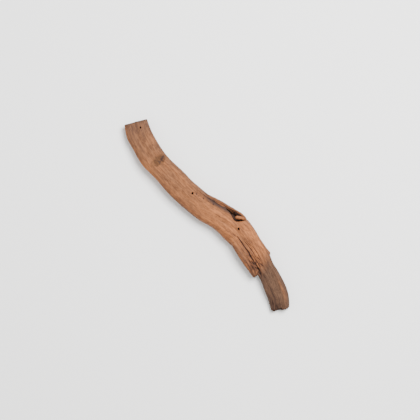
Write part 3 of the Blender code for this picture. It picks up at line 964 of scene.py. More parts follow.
@dataclass
class WoodBody:
    """The grown wood: body and stub in one, with its window, cracks and round holes."""

    body: Limb = field(
        default_factory=lambda: Limb(
            "wood_body", BODY_STATIONS, columns=196, row_step=0.98, start_tear=Tear(0.4, 0.12, 3.0),
            finish_tear=Tear(2.1, 0.4, 9.0, chamfer=2.6, chamfer_from=7.0, chamfer_to=12.4), seed=3,
            checks=BODY_CHECKS,
        )
    )
    stub: Limb = field(
        default_factory=lambda: Limb(
            "stub", STUB_STATIONS, columns=96, row_step=0.9, start_tear=None,
            finish_tear=Tear(2.1, 0.6, 7.0), seed=61, checks=STUB_CHECKS, cap_rings=14,
        )
    )
    window_grid: tuple[int, int, int] = (64, 24, 26)
    window_height: float = 35.0
    window_far_side: float = 46.0
    window_seed: int = 91
    cutter_rise: float = 2.0
    crack_rings: int = 48
    crack_seed: int = 200
    hole_sides: int = 20

    def surface(self, x: float, y: float) -> float:
        """Height of the wood above a point."""
        return max(upper_side(self.body, x, y), upper_side(self.stub, x, y)) - float(hollow_depth(x, y))

    def window_cutter(self) -> bpy.types.Object:
        """The block that tears the window out, with the grain's relief on its faces.

        Returns:
            The cutter.
        """
        edge = np.array(WINDOW_EDGE)

        def shape(u: np.ndarray, v: np.ndarray, w: np.ndarray) -> np.ndarray:
            """Places in the block.

            Args:
                u: Share along the edge.
                v: Share from the edge to the far side.
                w: Share from the floor to the top.

            Returns:
                One row of x, y, z for each point.
            """
            x = edge[0, 0] + (edge[-1, 0] - edge[0, 0]) * u
            inner = np.interp(x, edge[:, 0], edge[:, 1])
            level = WINDOW_FLOOR + self.window_height * w**1.5
            broad_tear = LatticeNoise(self.window_seed).at(x / 7.0, level / 0.9)
            torn = broad_tear + 0.5 * LatticeNoise(self.window_seed + 1).at(x / 2.6, level / 0.6)
            y = (inner + 0.85 * torn * (1 - v)) * (1 - v) + self.window_far_side * v
            broad_ridges = LatticeNoise(self.window_seed + 2).at(x / 9.0, y / 1.1)
            ridges = broad_ridges + 0.5 * LatticeNoise(self.window_seed + 3).at(x / 3.0, y / 0.7)
            level = level - (0.10 * (y - inner) - 0.7 * ridges) * (1 - w) ** 2
            return np.column_stack([x, y, level])

        return new_piece("window_cutter", *box_surface(self.window_grid, shape))

    def crack_cutter(self, name: str, crack: Crack, seed: int) -> bpy.types.Object:
        """A thin uneven wedge along the grain.

        Args:
            name: The cutter's name.
            crack: The crack that it opens.
            seed: Seed of its unevenness.

        Returns:
            The cutter.
        """
        at, path, ahead = follow(crack.course, self.crack_rings)
        left = np.column_stack([-ahead[:, 1], ahead[:, 0]])
        path = path + left * (0.22 * LatticeNoise(seed).at(at / 3.2, np.zeros_like(at)))[:, None]
        corners = []
        for index, (x, y) in enumerate(path):
            swell = 0.12 + 0.88 * math.sin(math.pi * ((index + 0.5) / self.crack_rings) ** crack.lean)
            swell *= 0.8 + 0.3 * float(LatticeNoise(seed + 1).at(at[index:index + 1] / 2.1, np.zeros(1))[0])
            deep = crack.depth * swell
            wide = crack.half_width * swell * (deep + self.cutter_rise) / deep
            level = self.surface(x, y)
            for side in (-1.0, 1.0):
                corners.append((*(path[index] + left[index] * wide * side), level + self.cutter_rise))
            corners.append((x, y, level - deep))
        last = len(corners) - 3
        faces = [(0, 1, 2), *tube(self.crack_rings, 3), (last, last + 1, last + 2)]
        return new_piece(name, np.array(corners), faces)

    def hole_cutter(self, name: str, hole: Hole) -> bpy.types.Object:
        """A small round bore with an uneven rim.

        Args:
            name: The cutter's name.
            hole: The hole that it bores.

        Returns:
            The cutter.
        """
        turn = 2 * math.pi * np.arange(self.hole_sides) / self.hole_sides
        uneven = 1 + 0.10 * np.sin(2 * turn + hole.x) + 0.06 * np.sin(3 * turn + hole.y)
        level = self.surface(hole.x, hole.y)
        steps = ((self.cutter_rise, 1.12), (0.0, 1.05), (-hole.depth * 0.5, 0.85), (-hole.depth, 0.6))
        rings = []
        for rise, size in steps:
            reach = hole.radius * size * uneven
            x, y = hole.x + reach * np.cos(turn), hole.y + reach * np.sin(turn)
            rings.append(np.column_stack([x, y, np.full(self.hole_sides, level + rise)]))
        points = np.concatenate(rings)
        top = tuple(range(self.hole_sides))
        bottom = tuple(range(len(points) - self.hole_sides, len(points)))
        return new_piece(name, points, [top, *tube(len(steps), self.hole_sides), bottom])

    def build(self) -> bpy.types.Object:
        """Join the limbs and make every cut.

        Returns:
            The wood as one closed mesh.
        """
        wood = self.body.build()
        apply_boolean(wood, self.window_cutter(), Change.CUT)
        apply_boolean(wood, self.stub.build(), Change.JOIN)
        for index, crack in enumerate(CRACKS):
            cutter = self.crack_cutter(f"crack_{index}", crack, self.crack_seed + 3 * index)
            apply_boolean(wood, cutter, Change.CUT)
        for index, hole in enumerate(HOLES):
            apply_boolean(wood, self.hole_cutter(f"hole_{index}", hole), Change.CUT)
        apply_boolean(wood, self.floor_cutter(), Change.CUT)
        wood.name = "root_wood_body"
        return wood

    def floor_cutter(self) -> bpy.types.Object:
        """Everything below the surface that the root rests on.

        Returns:
            The cutter.
        """
        corners = np.array([[x, y, z] for x in (-30.0, 320.0) for y in (-60.0, 80.0) for z in (-12.0, 0.0)])
        faces = [(0, 1, 3, 2), (4, 6, 7, 5), (0, 4, 5, 1), (2, 3, 7, 6), (0, 2, 6, 4), (1, 5, 7, 3)]
        return new_piece("floor_cutter", corners, faces)

    def dress(self, wood: bpy.types.Object, material: bpy.types.Material) -> None:
        """Write the grain and the zones of colour on the mesh, and give it its finish.

        Args:
            wood: The wood that build returned.
            material: Its finish.
        """
        points = outline_points(wood.data)
        grain, body_depth, share = self.body.coordinates(points)
        _, stub_depth, _ = self.stub.coordinates(points)
        on_stub = smooth_step(-0.6, 0.6, stub_depth - body_depth)
        cut_face = smooth_step(2.0, 0.6, grain[:, 0])
        torn_face = smooth_step(3.0, 0.0, self.body.along[-1] - grain[:, 0])
        # Depth under the skin, which sets the painted shade of the recesses, kept off the end faces.
        depth = np.maximum(body_depth, stub_depth) * (1 - cut_face) * (1 - 0.7 * torn_face)
        # Partly painted shade, with darker end faces.
        aged_and_shaded = np.clip(wood_age_and_shade(points, share, on_stub) + 0.7 * cut_face + 0.5 * torn_face, 0, 1)
        # The painted shade of the relief and the checks, joined with that of the cracks.
        crack_shade = np.empty(len(points))
        wood.data.attributes["crack_shade"].data.foreach_get("value", crack_shade)
        looks = Looks(
            grain=grain,
            zones=wood_zones(points, grain, depth, on_stub),
            marks=wood_marks(points, grain, share),
            wear_and_shade=np.column_stack([aged_and_shaded, speck_share(points), cut_face]),
            crack_shade=np.maximum(crack_shade, crack_share(points)),
        )
        looks.write(wood.data)
        finish_piece(wood, material)


def wood_age_and_shade(points: np.ndarray, share: np.ndarray, on_stub: np.ndarray) -> np.ndarray:
    """How far each point is darkened, from 0 to 1, mostly as painted shade.

    Args:
        points: Places in the outline's millimetres.
        share: Share across the body, from -1 to 1.
        on_stub: 1 for points that belong to the stub.

    Returns:
        One number for each point.
    """
    x = points[:, 0]
    on_lobe = LOBE.at(x)
    # Darker towards the broad top end.
    aged_and_shaded = 0.56 * TOP_END.at(x)
    # Along the right edge, partly painted shade and partly dark torn wood, more below the window.
    aged_and_shaded += 0.42 * RIGHT_SIDE.at(share) * (1 + 0.4 * BELOW_WINDOW.at(x))
    # Painted shade on the lobe's left half, which slopes away from the light, and on its right flank, to
    # tone down where the light catches it.
    aged_and_shaded += 0.55 * on_lobe * LEFT_HALF.at(share) + 0.35 * on_lobe * RIGHT_FLANK.at(share)
    # Painted shade on the left side beside the stub.
    aged_and_shaded += 0.32 * BESIDE_STUB.at(x) * LEFT_SIDE.at(share) * (1 - on_lobe)
    # Painted shade on the left flank below the top end.
    aged_and_shaded += 0.26 * BELOW_TOP_END.at(x) * LEFT_FLANK.at(share) * (1 - on_lobe)
    aged_and_shaded += 0.12 * on_stub * STUB_END.at(x)
    # Painted shade in the recess under the lobe's torn end.
    aged_and_shaded += 0.55 * CORNER_RECESS_SHADE.at(x, points[:, 1])
    return aged_and_shaded


def window_share(points: np.ndarray) -> np.ndarray:
    """How far points lie inside the torn window.

    Args:
        points: Places in the outline's millimetres.

    Returns:
        1 in the window and 0 on the skin round it, for each point.
    """
    edge = np.array(WINDOW_EDGE)
    x, y, z = points.T
    inner = np.interp(x, edge[:, 0], edge[:, 1])
    inside = smooth_step(-1.0, -0.2, y - inner) * (x > edge[0, 0]) * (x < WINDOW_END)
    skin = 17.2 - 0.32 * np.clip(y - 20.0, 0, 20)
    return inside * (1 - smooth_step(skin - 3.0, skin - 0.6, z)) * smooth_step(1.5, 3.0, z)


def wood_zones(points: np.ndarray, grain: np.ndarray, depth: np.ndarray, on_stub: np.ndarray) -> np.ndarray:
    """Where the cracks, holes and window get painted shade, and where the wood is weathered and stained,
    from 0 to 1 each.

    Args:
        points: Places in the outline's millimetres.
        grain: Along, across and height of the same points.
        depth: Depth under the smooth skin.
        on_stub: 1 for points that belong to the stub.

    Returns:
        Rows of painted recess shade, weathered, stained.
    """
    x, y, z = points.T
    rise = UPPER_SIDE.at(z)
    rough = rough_share(x, y)
    # Painted shade in the cracks, holes and window: darker the deeper a point lies under the smooth skin.
    recess_shade = smooth_step(0.75 + 0.9 * rough, 1.7 + 0.9 * rough, depth - hollow_depth(x, y) * rise)
    recess_shade = np.maximum(recess_shade, window_share(points))
    weathered = np.maximum(GREYING.at(x + 0.25 * grain[:, 1]) * (1 - 0.6 * on_stub), 0.30 * rough)
    return np.column_stack([recess_shade, weathered, STAIN.at(x, y) * rise])


def speck_share(points: np.ndarray) -> np.ndarray:
    """How dark the small marks are at each point, from 0 to 1."""
    return np.max([speck.at(points) for speck in SPECKS], axis=0) * smooth_step(5.0, 9.0, points[:, 2])


def crack_share(points: np.ndarray) -> np.ndarray:
    """How dark the painted shade on the cracks' lips and walls is.

    Args:
        points: Places in the outline's millimetres.

    Returns:
        A number from 0 to 1 for each point.
    """
    share = np.zeros(len(points))
    for crack in CRACKS:
        at, path, _ = follow(crack.course, CRACK_STEPS)
        low, high = path.min(axis=0) - CRACK_MARGIN, path.max(axis=0) + CRACK_MARGIN
        near = np.nonzero(((points[:, :2] > low) & (points[:, :2] < high)).all(axis=1))[0]
        gaps = np.linalg.norm(points[near, None, :2] - path[None, :, :], axis=2)
        place = at[gaps.argmin(axis=1)] / at[-1]
        width = 0.5 * crack.half_width * (0.25 + 0.75 * np.sin(math.pi * place**crack.lean)) + 0.10
        dark = smooth_step(1.35, 0.80, gaps.min(axis=1) / width) * min(1.0, 0.35 + 0.65 * crack.half_width)
        share[near] = np.maximum(share[near], dark)
    return share * smooth_step(3.0, 6.0, points[:, 2])


def wood_marks(points: np.ndarray, grain: np.ndarray, share: np.ndarray) -> np.ndarray:
    """Where the wood is peeled and brown, torn to coarse fibres, and paler or given painted light, from 0
    to 1 each.

    Args:
        points: Places in the outline's millimetres.
        grain: Along, across and height of the same points.
        share: Share across the body, from -1 to 1.

    Returns:
        Rows of peeled, coarse, and paling with painted light.
    """
    (x, y, z), across = points.T, grain[:, 1]
    peeled = smooth_step(7.5, 11.5, across) * PEELED_START.at(x) * PEELED_END.at(x)
    peeled = peeled * smooth_step(6.0, 11.0, z)
    coarse = np.clip(1.2 * rough_share(x, y), 0, 1) * smooth_step(3.0, 7.0, z)
    paling_and_light = PALING_TOP.at(x) * 0.50 + PALING_MIDDLE.at(x) * 0.50
    # Painted shade: darker left of the middle in the lower half.
    paling_and_light -= 0.35 * LOWER_HALF.at(x) * LEFT_OF_MIDDLE.at(share)
    # Painted highlight on the left rim near the top end.
    paling_and_light += 0.6 * LEFT_RIM.at(share) * TOP_RIM.at(x)
    # Paler torn fibres in the fork, partly a painted highlight on their ridges.
    paling_and_light += 0.75 * coarse * ABOVE_LOBE.at(x)
    return np.column_stack([peeled, coarse, paling_and_light])


def box_surface(
    steps: tuple[int, int, int], shape: Callable[[np.ndarray, np.ndarray, np.ndarray], np.ndarray]
) -> tuple[np.ndarray, Faces]:
    """The six faces of a block as one closed grid.

    Args:
        steps: How many cells along each direction.
        shape: Turns arrays u, v, w from 0 to 1 into places.

    Returns:
        Points and faces.
    """
    numbers: dict[tuple[int, ...], int] = {}
    faces: Faces = []
    for axis in range(3):
        first, second = [other for other in range(3) if other != axis]
        for level, i, j in product((0, steps[axis]), range(steps[first]), range(steps[second])):
            corners = []
            for di, dj in ((0, 0), (1, 0), (1, 1), (0, 1)):
                key = [0, 0, 0]
                key[axis], key[first], key[second] = level, i + di, j + dj
                corners.append(numbers.setdefault(tuple(key), len(numbers)))
            faces.append(tuple(corners))
    share = np.array(list(numbers), dtype=float) / np.array(steps, dtype=float)
    return shape(share[:, 0], share[:, 1], share[:, 2]), faces


def freeze(thing: bpy.types.Object, modifier: bpy.types.Modifier) -> None:
    """Keep what a modifier makes as the object's plain mesh, and remove the modifier.

    Args:
        thing: The object.
        modifier: Its only modifier.
    """
    evaluated = thing.evaluated_get(bpy.context.evaluated_depsgraph_get())
    mesh = bpy.data.meshes.new_from_object(evaluated)
    thing.modifiers.remove(modifier)
    old = thing.data
    thing.data = mesh
    bpy.data.meshes.remove(old)


def apply_boolean(target: bpy.types.Object, operand: bpy.types.Object, change: Change) -> None:
    """Join or cut with one object, keep the result as the target's mesh, and remove the operand.

    Args:
        target: The object that is changed.
        operand: The object that joins or cuts it.
        change: Whether it joins or cuts.
    """
    modifier = target.modifiers.new("change", "BOOLEAN")
    modifier.operation = change.value
    modifier.solver = "MANIFOLD"
    modifier.object = operand
    freeze(target, modifier)
    bpy.data.objects.remove(operand, do_unlink=True)
    LOG.info("%s: %s leaves %d faces", target.name, change.value, len(target.data.polygons))


def finish_piece(piece: bpy.types.Object, material: bpy.types.Material) -> None:
    """Args:
        piece: A finished piece.
        material: Its finish.
    """
    piece.data.materials.clear()
    piece.data.materials.append(material)
    piece.data.shade_smooth()
    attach(piece, BODY)
    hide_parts(NODE)
    piece.data.calc_loop_triangles()
    LOG.info("%s: %d triangles", piece.name, len(piece.data.loop_triangles))


@dataclass(frozen=True)
class Sliver:
    """A strip of wood that stands off the root: its course, widest width, thickness and blunt tip."""

    name: str
    course: tuple[tuple[float, float, float], ...]
    width: float
    thickness: float
    start: float
    finish: float
    peeled: float


SLIVERS = [
    Sliver(
        "outer_strand",
        ((121.0, 16.0, 17.0), (131.0, 20.0, 18.0), (143.0, 24.8, 17.4), (151.8, 28.1, 16.2),
         (158.6, 30.9, 15.2), (166.0, 33.4, 14.0), (173.0, 34.2, 12.8), (181.0, 31.6, 10.6)),
        width=2.4, thickness=1.8, start=0.3, finish=0.6, peeled=0.45,
    ),
    Sliver(
        "peeled_band",
        ((118.0, 13.2, 17.0), (131.0, 18.6, 17.8), (143.0, 22.9, 16.8), (150.0, 25.5, 15.0),
         (156.0, 27.8, 12.5), (162.0, 29.6, 9.0)),
        width=2.6, thickness=1.4, start=0.3, finish=0.3, peeled=0.55,
    ),
    Sliver(
        "inner_strand",
        ((134.0, 18.0, 18.0), (144.0, 21.9, 17.6), (150.0, 24.6, 15.2), (156.0, 26.2, 11.5),
         (160.5, 27.2, 8.0)),
        width=1.1, thickness=1.0, start=0.4, finish=0.3, peeled=0.35,
    ),
    # A dark peeled band low in the window: painted shade that keeps the window dark and the floor out of
    # sight.
    Sliver(
        "low_strand",
        ((141.0, 22.5, 11.5), (150.0, 26.0, 10.2), (158.0, 28.9, 8.8), (167.0, 31.0, 7.6),
         (177.5, 31.6, 6.4)),
        width=4.4, thickness=1.3, start=0.8, finish=0.8, peeled=1.0,
    ),
    Sliver(
        "window_splinter",
        ((174.2, 34.7, 12.5), (169.4, 30.2, 14.4), (164.8, 25.6, 15.0)),
        width=3.9, thickness=1.9, start=0.5, finish=0.75, peeled=0.1,
    ),
    Sliver(
        "side_splinter",
        ((212.0, 28.6, 9.4), (219.0, 30.4, 9.6), (226.5, 30.8, 9.2)),
        width=3.0, thickness=1.6, start=1.0, finish=0.3, peeled=0.2,
    ),
]


@dataclass
class Slivers:
    """The peeled strands and splinters beside the window and on the far side."""

    sides: int = 20
    step: float = 0.7
    first_seed: int = 300

    def build(self, sliver: Sliver) -> bpy.types.Object:
        """Sweep one sliver along its course with an uneven, rounded strip section.

        Args:
            sliver: The sliver.

        Returns:
            The piece, with what its finish reads.
        """
        count = max(12, int(course_length(sliver.course)[-1] / self.step))
        at, path, ahead = follow(sliver.course, count)
        side = np.cross(np.array([0.0, 0.0, 1.0]), ahead)
        side /= np.linalg.norm(side, axis=1)[:, None]
        up = np.cross(ahead, side)
        share = at / at[-1]
        size = np.interp(share, [0.0, 0.25, 0.85, 1.0], [sliver.start, 1.0, 1.0, sliver.finish])
        size = size * np.clip(8 * np.minimum(share, 1 - share) + 0.35, 0, 1)
        turn = 2 * math.pi * np.arange(self.sides) / self.sides
        seed = self.first_seed + len(sliver.name)
        grown = 1.0
        for number, (strength, long, around) in enumerate(((0.26, 6.0, 2), (0.16, 2.0, 3))):
            steps = np.repeat(at[:, None] / long, self.sides, 1)
            grown = grown + strength * LatticeNoise(seed + number).at(steps, turn[None, :] * around + 20)
        points = np.repeat(path[:, None, :], self.sides, axis=1)
        ways = ((side, sliver.width, np.cos(turn)), (up, sliver.thickness, np.sin(turn)))
        for direction, reach, along in ways:
            section = np.sign(along) * np.abs(along) ** 0.7 * reach / 2
            points = points + direction[:, None, :] * (section[None, :] * grown * size[:, None])[..., None]
        points = np.concatenate([points.reshape(-1, 3), path[:1], path[-1:]])
        wall = count * self.sides
        ends = fan(0, wall, self.sides) + fan(wall - self.sides, wall + 1, self.sides)
        piece = new_piece(sliver.name, points, tube(count, self.sides) + ends)
        around = np.tile(turn * sliver.width * 0.4, count)
        grain = np.column_stack([np.repeat(at, self.sides), around, np.full(wall, 3.0 * seed)])
        grain = np.concatenate([grain, grain[:1], grain[-1:]])
        Looks(grain, marks=(sliver.peeled, 0.0, 1.0)).write(piece.data)
        return piece


@dataclass(frozen=True)
class Pit:
    """Where torn fibres stand: place, heading in degrees, half width, lowest and highest point."""

    name: str
    x: float
    y: float
    heading: float
    half: float
    low: float
    high: float
    length: float
    density: float
    seed: int


PITS = [
    Pit("lobe_fibres", 284.0, -1.2, -31.0, 8.4, 1.5, 10.5, 1.7, 0.05, 5),
    Pit("stub_fibres", 233.4, 1.9, -14.0, 4.0, 7.0, 12.8, 2.0, 0.3, 9),
    Pit("corner_fibres", 273.5, -3.2, -78.0, 4.0, 3.0, 9.0, 2.6, 0.14, 21),
]


@dataclass
class TornFibres:
    """Short stiff fibres at the torn ends, made by Geometry Nodes on a hidden patch of each end."""

    radius: float = 0.30
    sides: int = 6
    patch_corners: int = 24

    def tree(self, material: bpy.types.Material) -> bpy.types.NodeTree:
        """Build the node tree that stands fibres on a patch.

        Args:
            material: The fibres' finish.

        Returns:
            The node tree.
        """
        tree = bpy.data.node_groups.new("torn_fibres", "GeometryNodeTree")
        face = tree.interface
        for name, kind in (
            ("Geometry", "Geometry"), ("Density", "Float"), ("Seed", "Int"), ("Length", "Float"),
            ("Radius", "Float"),
        ):
            face.new_socket(name, in_out="INPUT", socket_type="NodeSocket" + kind)
        face.new_socket("Geometry", in_out="OUTPUT", socket_type="NodeSocketGeometry")

        def node(kind: str, **settings: str) -> bpy.types.Node:
            """Add a node.

            Args:
                kind: The node's type.
                settings: Its properties.

            Returns:
                The node.
            """
            made = tree.nodes.new(kind)
            for key, value in settings.items():
                setattr(made, key, value)
            return made

        source = node("NodeGroupInput")
        scatter = node("GeometryNodeDistributePointsOnFaces")
        cone = node("GeometryNodeMeshCone", fill_type="NGON")
        cone.inputs["Vertices"].default_value = self.sides
        cone.inputs["Side Segments"].default_value = 3
        taper = node("ShaderNodeMath", operation="MULTIPLY")
        taper.inputs[1].default_value = 0.35
        align = node("FunctionNodeAlignRotationToVector", axis="Z")
        wobble = node("FunctionNodeRandomValue", data_type="FLOAT_VECTOR")
        wobble.inputs[0].default_value = (-0.3, -0.3, -0.3)
        wobble.inputs[1].default_value = (0.3, 0.3, 0.3)
        lean = node("FunctionNodeRotateRotation")
        stretch = node("FunctionNodeRandomValue", data_type="FLOAT_VECTOR")
        stretch.inputs[0].default_value = (1.0, 0.7, 0.25)
        stretch.inputs[1].default_value = (3.6, 1.6, 1.0)
        place = node("GeometryNodeInstanceOnPoints")
        realise = node("GeometryNodeRealizeInstances")
        paint = node("GeometryNodeSetMaterial")
        paint.inputs["Material"].default_value = material
        target = node("NodeGroupOutput")
        for start, end in (
            (source.outputs["Geometry"], scatter.inputs["Mesh"]),
            (source.outputs["Density"], scatter.inputs["Density"]),
            (source.outputs["Seed"], scatter.inputs["Seed"]),
            (source.outputs["Length"], cone.inputs["Depth"]),
            (source.outputs["Radius"], cone.inputs["Radius Bottom"]),
            (source.outputs["Radius"], taper.inputs[0]),
            (taper.outputs[0], cone.inputs["Radius Top"]),
            (scatter.outputs["Normal"], align.inputs["Vector"]),
            (source.outputs["Seed"], wobble.inputs["Seed"]),
            (align.outputs["Rotation"], lean.inputs["Rotation"]),
            (wobble.outputs[0], lean.inputs["Rotate By"]),
            (scatter.outputs["Points"], place.inputs["Points"]),
            (cone.outputs["Mesh"], place.inputs["Instance"]),
            (lean.outputs["Rotation"], place.inputs["Rotation"]),
            (stretch.outputs[0], place.inputs["Scale"]),
            (place.outputs["Instances"], realise.inputs["Geometry"]),
            (realise.outputs["Geometry"], paint.inputs["Geometry"]),
            (paint.outputs["Geometry"], target.inputs["Geometry"]),
        ):
            tree.links.new(start, end)
        return tree

    def patch(self, pit: Pit) -> bpy.types.Object:
        """The rounded patch across the grain that the fibres stand on.

        Args:
            pit: Where the fibres stand.

        Returns:
            The patch, which faces along the pit's heading.
        """
        turn = 2 * math.pi * np.arange(self.patch_corners) / self.patch_corners
        heading = math.radians(pit.heading)
        across = pit.half * np.sign(np.cos(turn)) * np.abs(np.cos(turn)) ** 0.8
        height = (pit.low + pit.high) / 2 + (pit.high - pit.low) / 2 * np.sin(turn)
        x, y = pit.x - math.sin(heading) * across, pit.y + math.cos(heading) * across
        points = np.column_stack([x, y, height])
        mesh = new_mesh(pit.name, points, [range(self.patch_corners)])
        if mesh.polygons[0].normal.dot(Vector((math.cos(heading), math.sin(heading), 0.0))) < 0:
            mesh.flip_normals()
        return add_object(pit.name, mesh)

    def build(self, pit: Pit, tree: bpy.types.NodeTree) -> bpy.types.Object:
        """Stand the fibres on one patch and keep them as a plain mesh.

        Args:
            pit: Where the fibres stand.
            tree: The node tree.

        Returns:
            The piece, with what its finish reads.
        """
        thing = self.patch(pit)
        modifier = thing.modifiers.new("fibres", "NODES")
        modifier.node_group = tree
        inputs = {
            item.name: item.identifier for item in tree.interface.items_tree
            if item.item_type == "SOCKET" and item.in_out == "INPUT"
        }
        modifier[inputs["Density"]] = pit.density / MM**2
        modifier[inputs["Seed"]] = pit.seed
        modifier[inputs["Length"]] = pit.length * 2 * MM
        modifier[inputs["Radius"]] = self.radius * MM
        freeze(thing, modifier)
        thing.data.name = pit.name
        looks = Looks(
            outline_points(thing.data), zones=(0.0, 0.8, 0.0), marks=(0.1, 0.3, 0.5), wear_and_shade=(0.2, 0.0, 0.0)
        )
        looks.write(thing.data)
        return thing


class Term:
    """A socket that takes part in arithmetic: each operator adds its Math node."""

    def __init__(self, book: "NodeBook", socket: bpy.types.NodeSocket) -> None:
        """Keep the socket and the tree that it belongs to."""
        self.book = book
        self.socket = socket

    def _math(self, operation: str, *values: "Term | float") -> "Term":
        """Add one Math node."""
        return self.book.node("ShaderNodeMath", {"operation": operation}, dict(enumerate(values)))

    def __add__(self, other: "Term | float") -> "Term":
        """Sum."""
        return self._math("ADD", self, other)

    __radd__ = __add__

    def __sub__(self, other: "Term | float") -> "Term":
        """Difference."""
        return self._math("SUBTRACT", self, other)

    def __rsub__(self, other: "Term | float") -> "Term":
        """Difference, from a number."""
        return self._math("SUBTRACT", other, self)

    def __mul__(self, other: "Term | float") -> "Term":
        """Product."""
        return self._math("MULTIPLY", self, other)

    __rmul__ = __mul__

    def ramp(self, low: float, high: float) -> "Term":
        """0 below low, 1 above high, and a smooth rise between."""
        return self.book.node(
            "ShaderNodeMapRange", {"interpolation_type": "SMOOTHSTEP"},
            {"Value": self, "From Min": low, "From Max": high},
        )


class NodeBook:
    """Writes the nodes of one material."""

    def __init__(self, tree: bpy.types.NodeTree) -> None:
        """Start on an empty tree."""
        self.tree = tree
        tree.nodes.clear()

    def node(
        self, kind: str, settings: dict | None = None, inputs: dict | None = None, output: int | str = 0
    ) -> Term:
        """Add a node.

        Args:
            kind: The node's type.
            settings: Properties, set before the inputs.
            inputs: Values or terms, by socket name or number.
            output: Name or number of the output that is returned.

        Returns:
            The output as a term.
        """
        made = self.tree.nodes.new(kind)
        for key, value in (settings or {}).items():
            setattr(made, key, value)
        for key, value in (inputs or {}).items():
            if isinstance(value, Term):
                self.tree.links.new(value.socket, made.inputs[key])
            else:
                made.inputs[key].default_value = value
        return Term(self, made.outputs[output])

    def sink(self, kind: str, shader: Term) -> None:
        """Add an output node for a shader."""
        made = self.tree.nodes.new(kind)
        self.tree.links.new(shader.socket, made.inputs["Surface"])

    def mix(self, share: Term | float, first: Term | Colour, second: Term | Colour) -> Term:
        """Mix two colours.

        Args:
            share: Share of the second colour.
            first: The colour at 0.
            second: The colour at 1.

        Returns:
            The mixed colour.
        """
        made = self.tree.nodes.new("ShaderNodeMix")
        made.data_type = "RGBA"
        for socket, value in ((made.inputs[0], share), (made.inputs[6], first), (made.inputs[7], second)):
            if isinstance(value, Term):
                self.tree.links.new(value.socket, socket)
            else:
                socket.default_value = (*value, 1.0) if isinstance(value, tuple) else value
        return Term(self, made.outputs[2])


def new_material(name: str) -> tuple[bpy.types.Material, NodeBook]:
    """Start a material.

    Args:
        name: The material's name.

    Returns:
        The material and the book that writes its nodes.
    """
    material = bpy.data.materials.new(name)
    material.use_nodes = True
    return material, NodeBook(material.node_tree)


@dataclass(frozen=True)
class Tone:
    """A colour of the wood with its shade in the furrows and its light on the ridges."""

    middle: Colour
    spread: float = 0.42

    def shade(self) -> Colour:
        """The darker fibres' colour."""
        red, green, blue = self.middle
        return (red * (1 - self.spread), green * (1 - self.spread * 1.06), blue * (1 - self.spread * 1.1))

    def light(self) -> Colour:
        """The paler fibres' colour."""
        red, green, blue = self.middle
        return (red * (1 + self.spread), green * (1 + self.spread * 1.02), blue * (1 + self.spread * 0.95))


# The noises of the finish: length and width of a cell in millimetres, and detail.
NOISES = {
    "mottle": (30.0, 9.0, 3.0),
    "blot": (3.2, 2.6, 5.0),
    "streak": (34.0, 2.2, 5.0),
    "dash": (15.0, 0.9, 4.0),
    "pore": (3.2, 0.42, 3.0),
    "flake": (6.5, 1.9, 3.0),
    "split": (8.0, 2.8, 1.0),
}


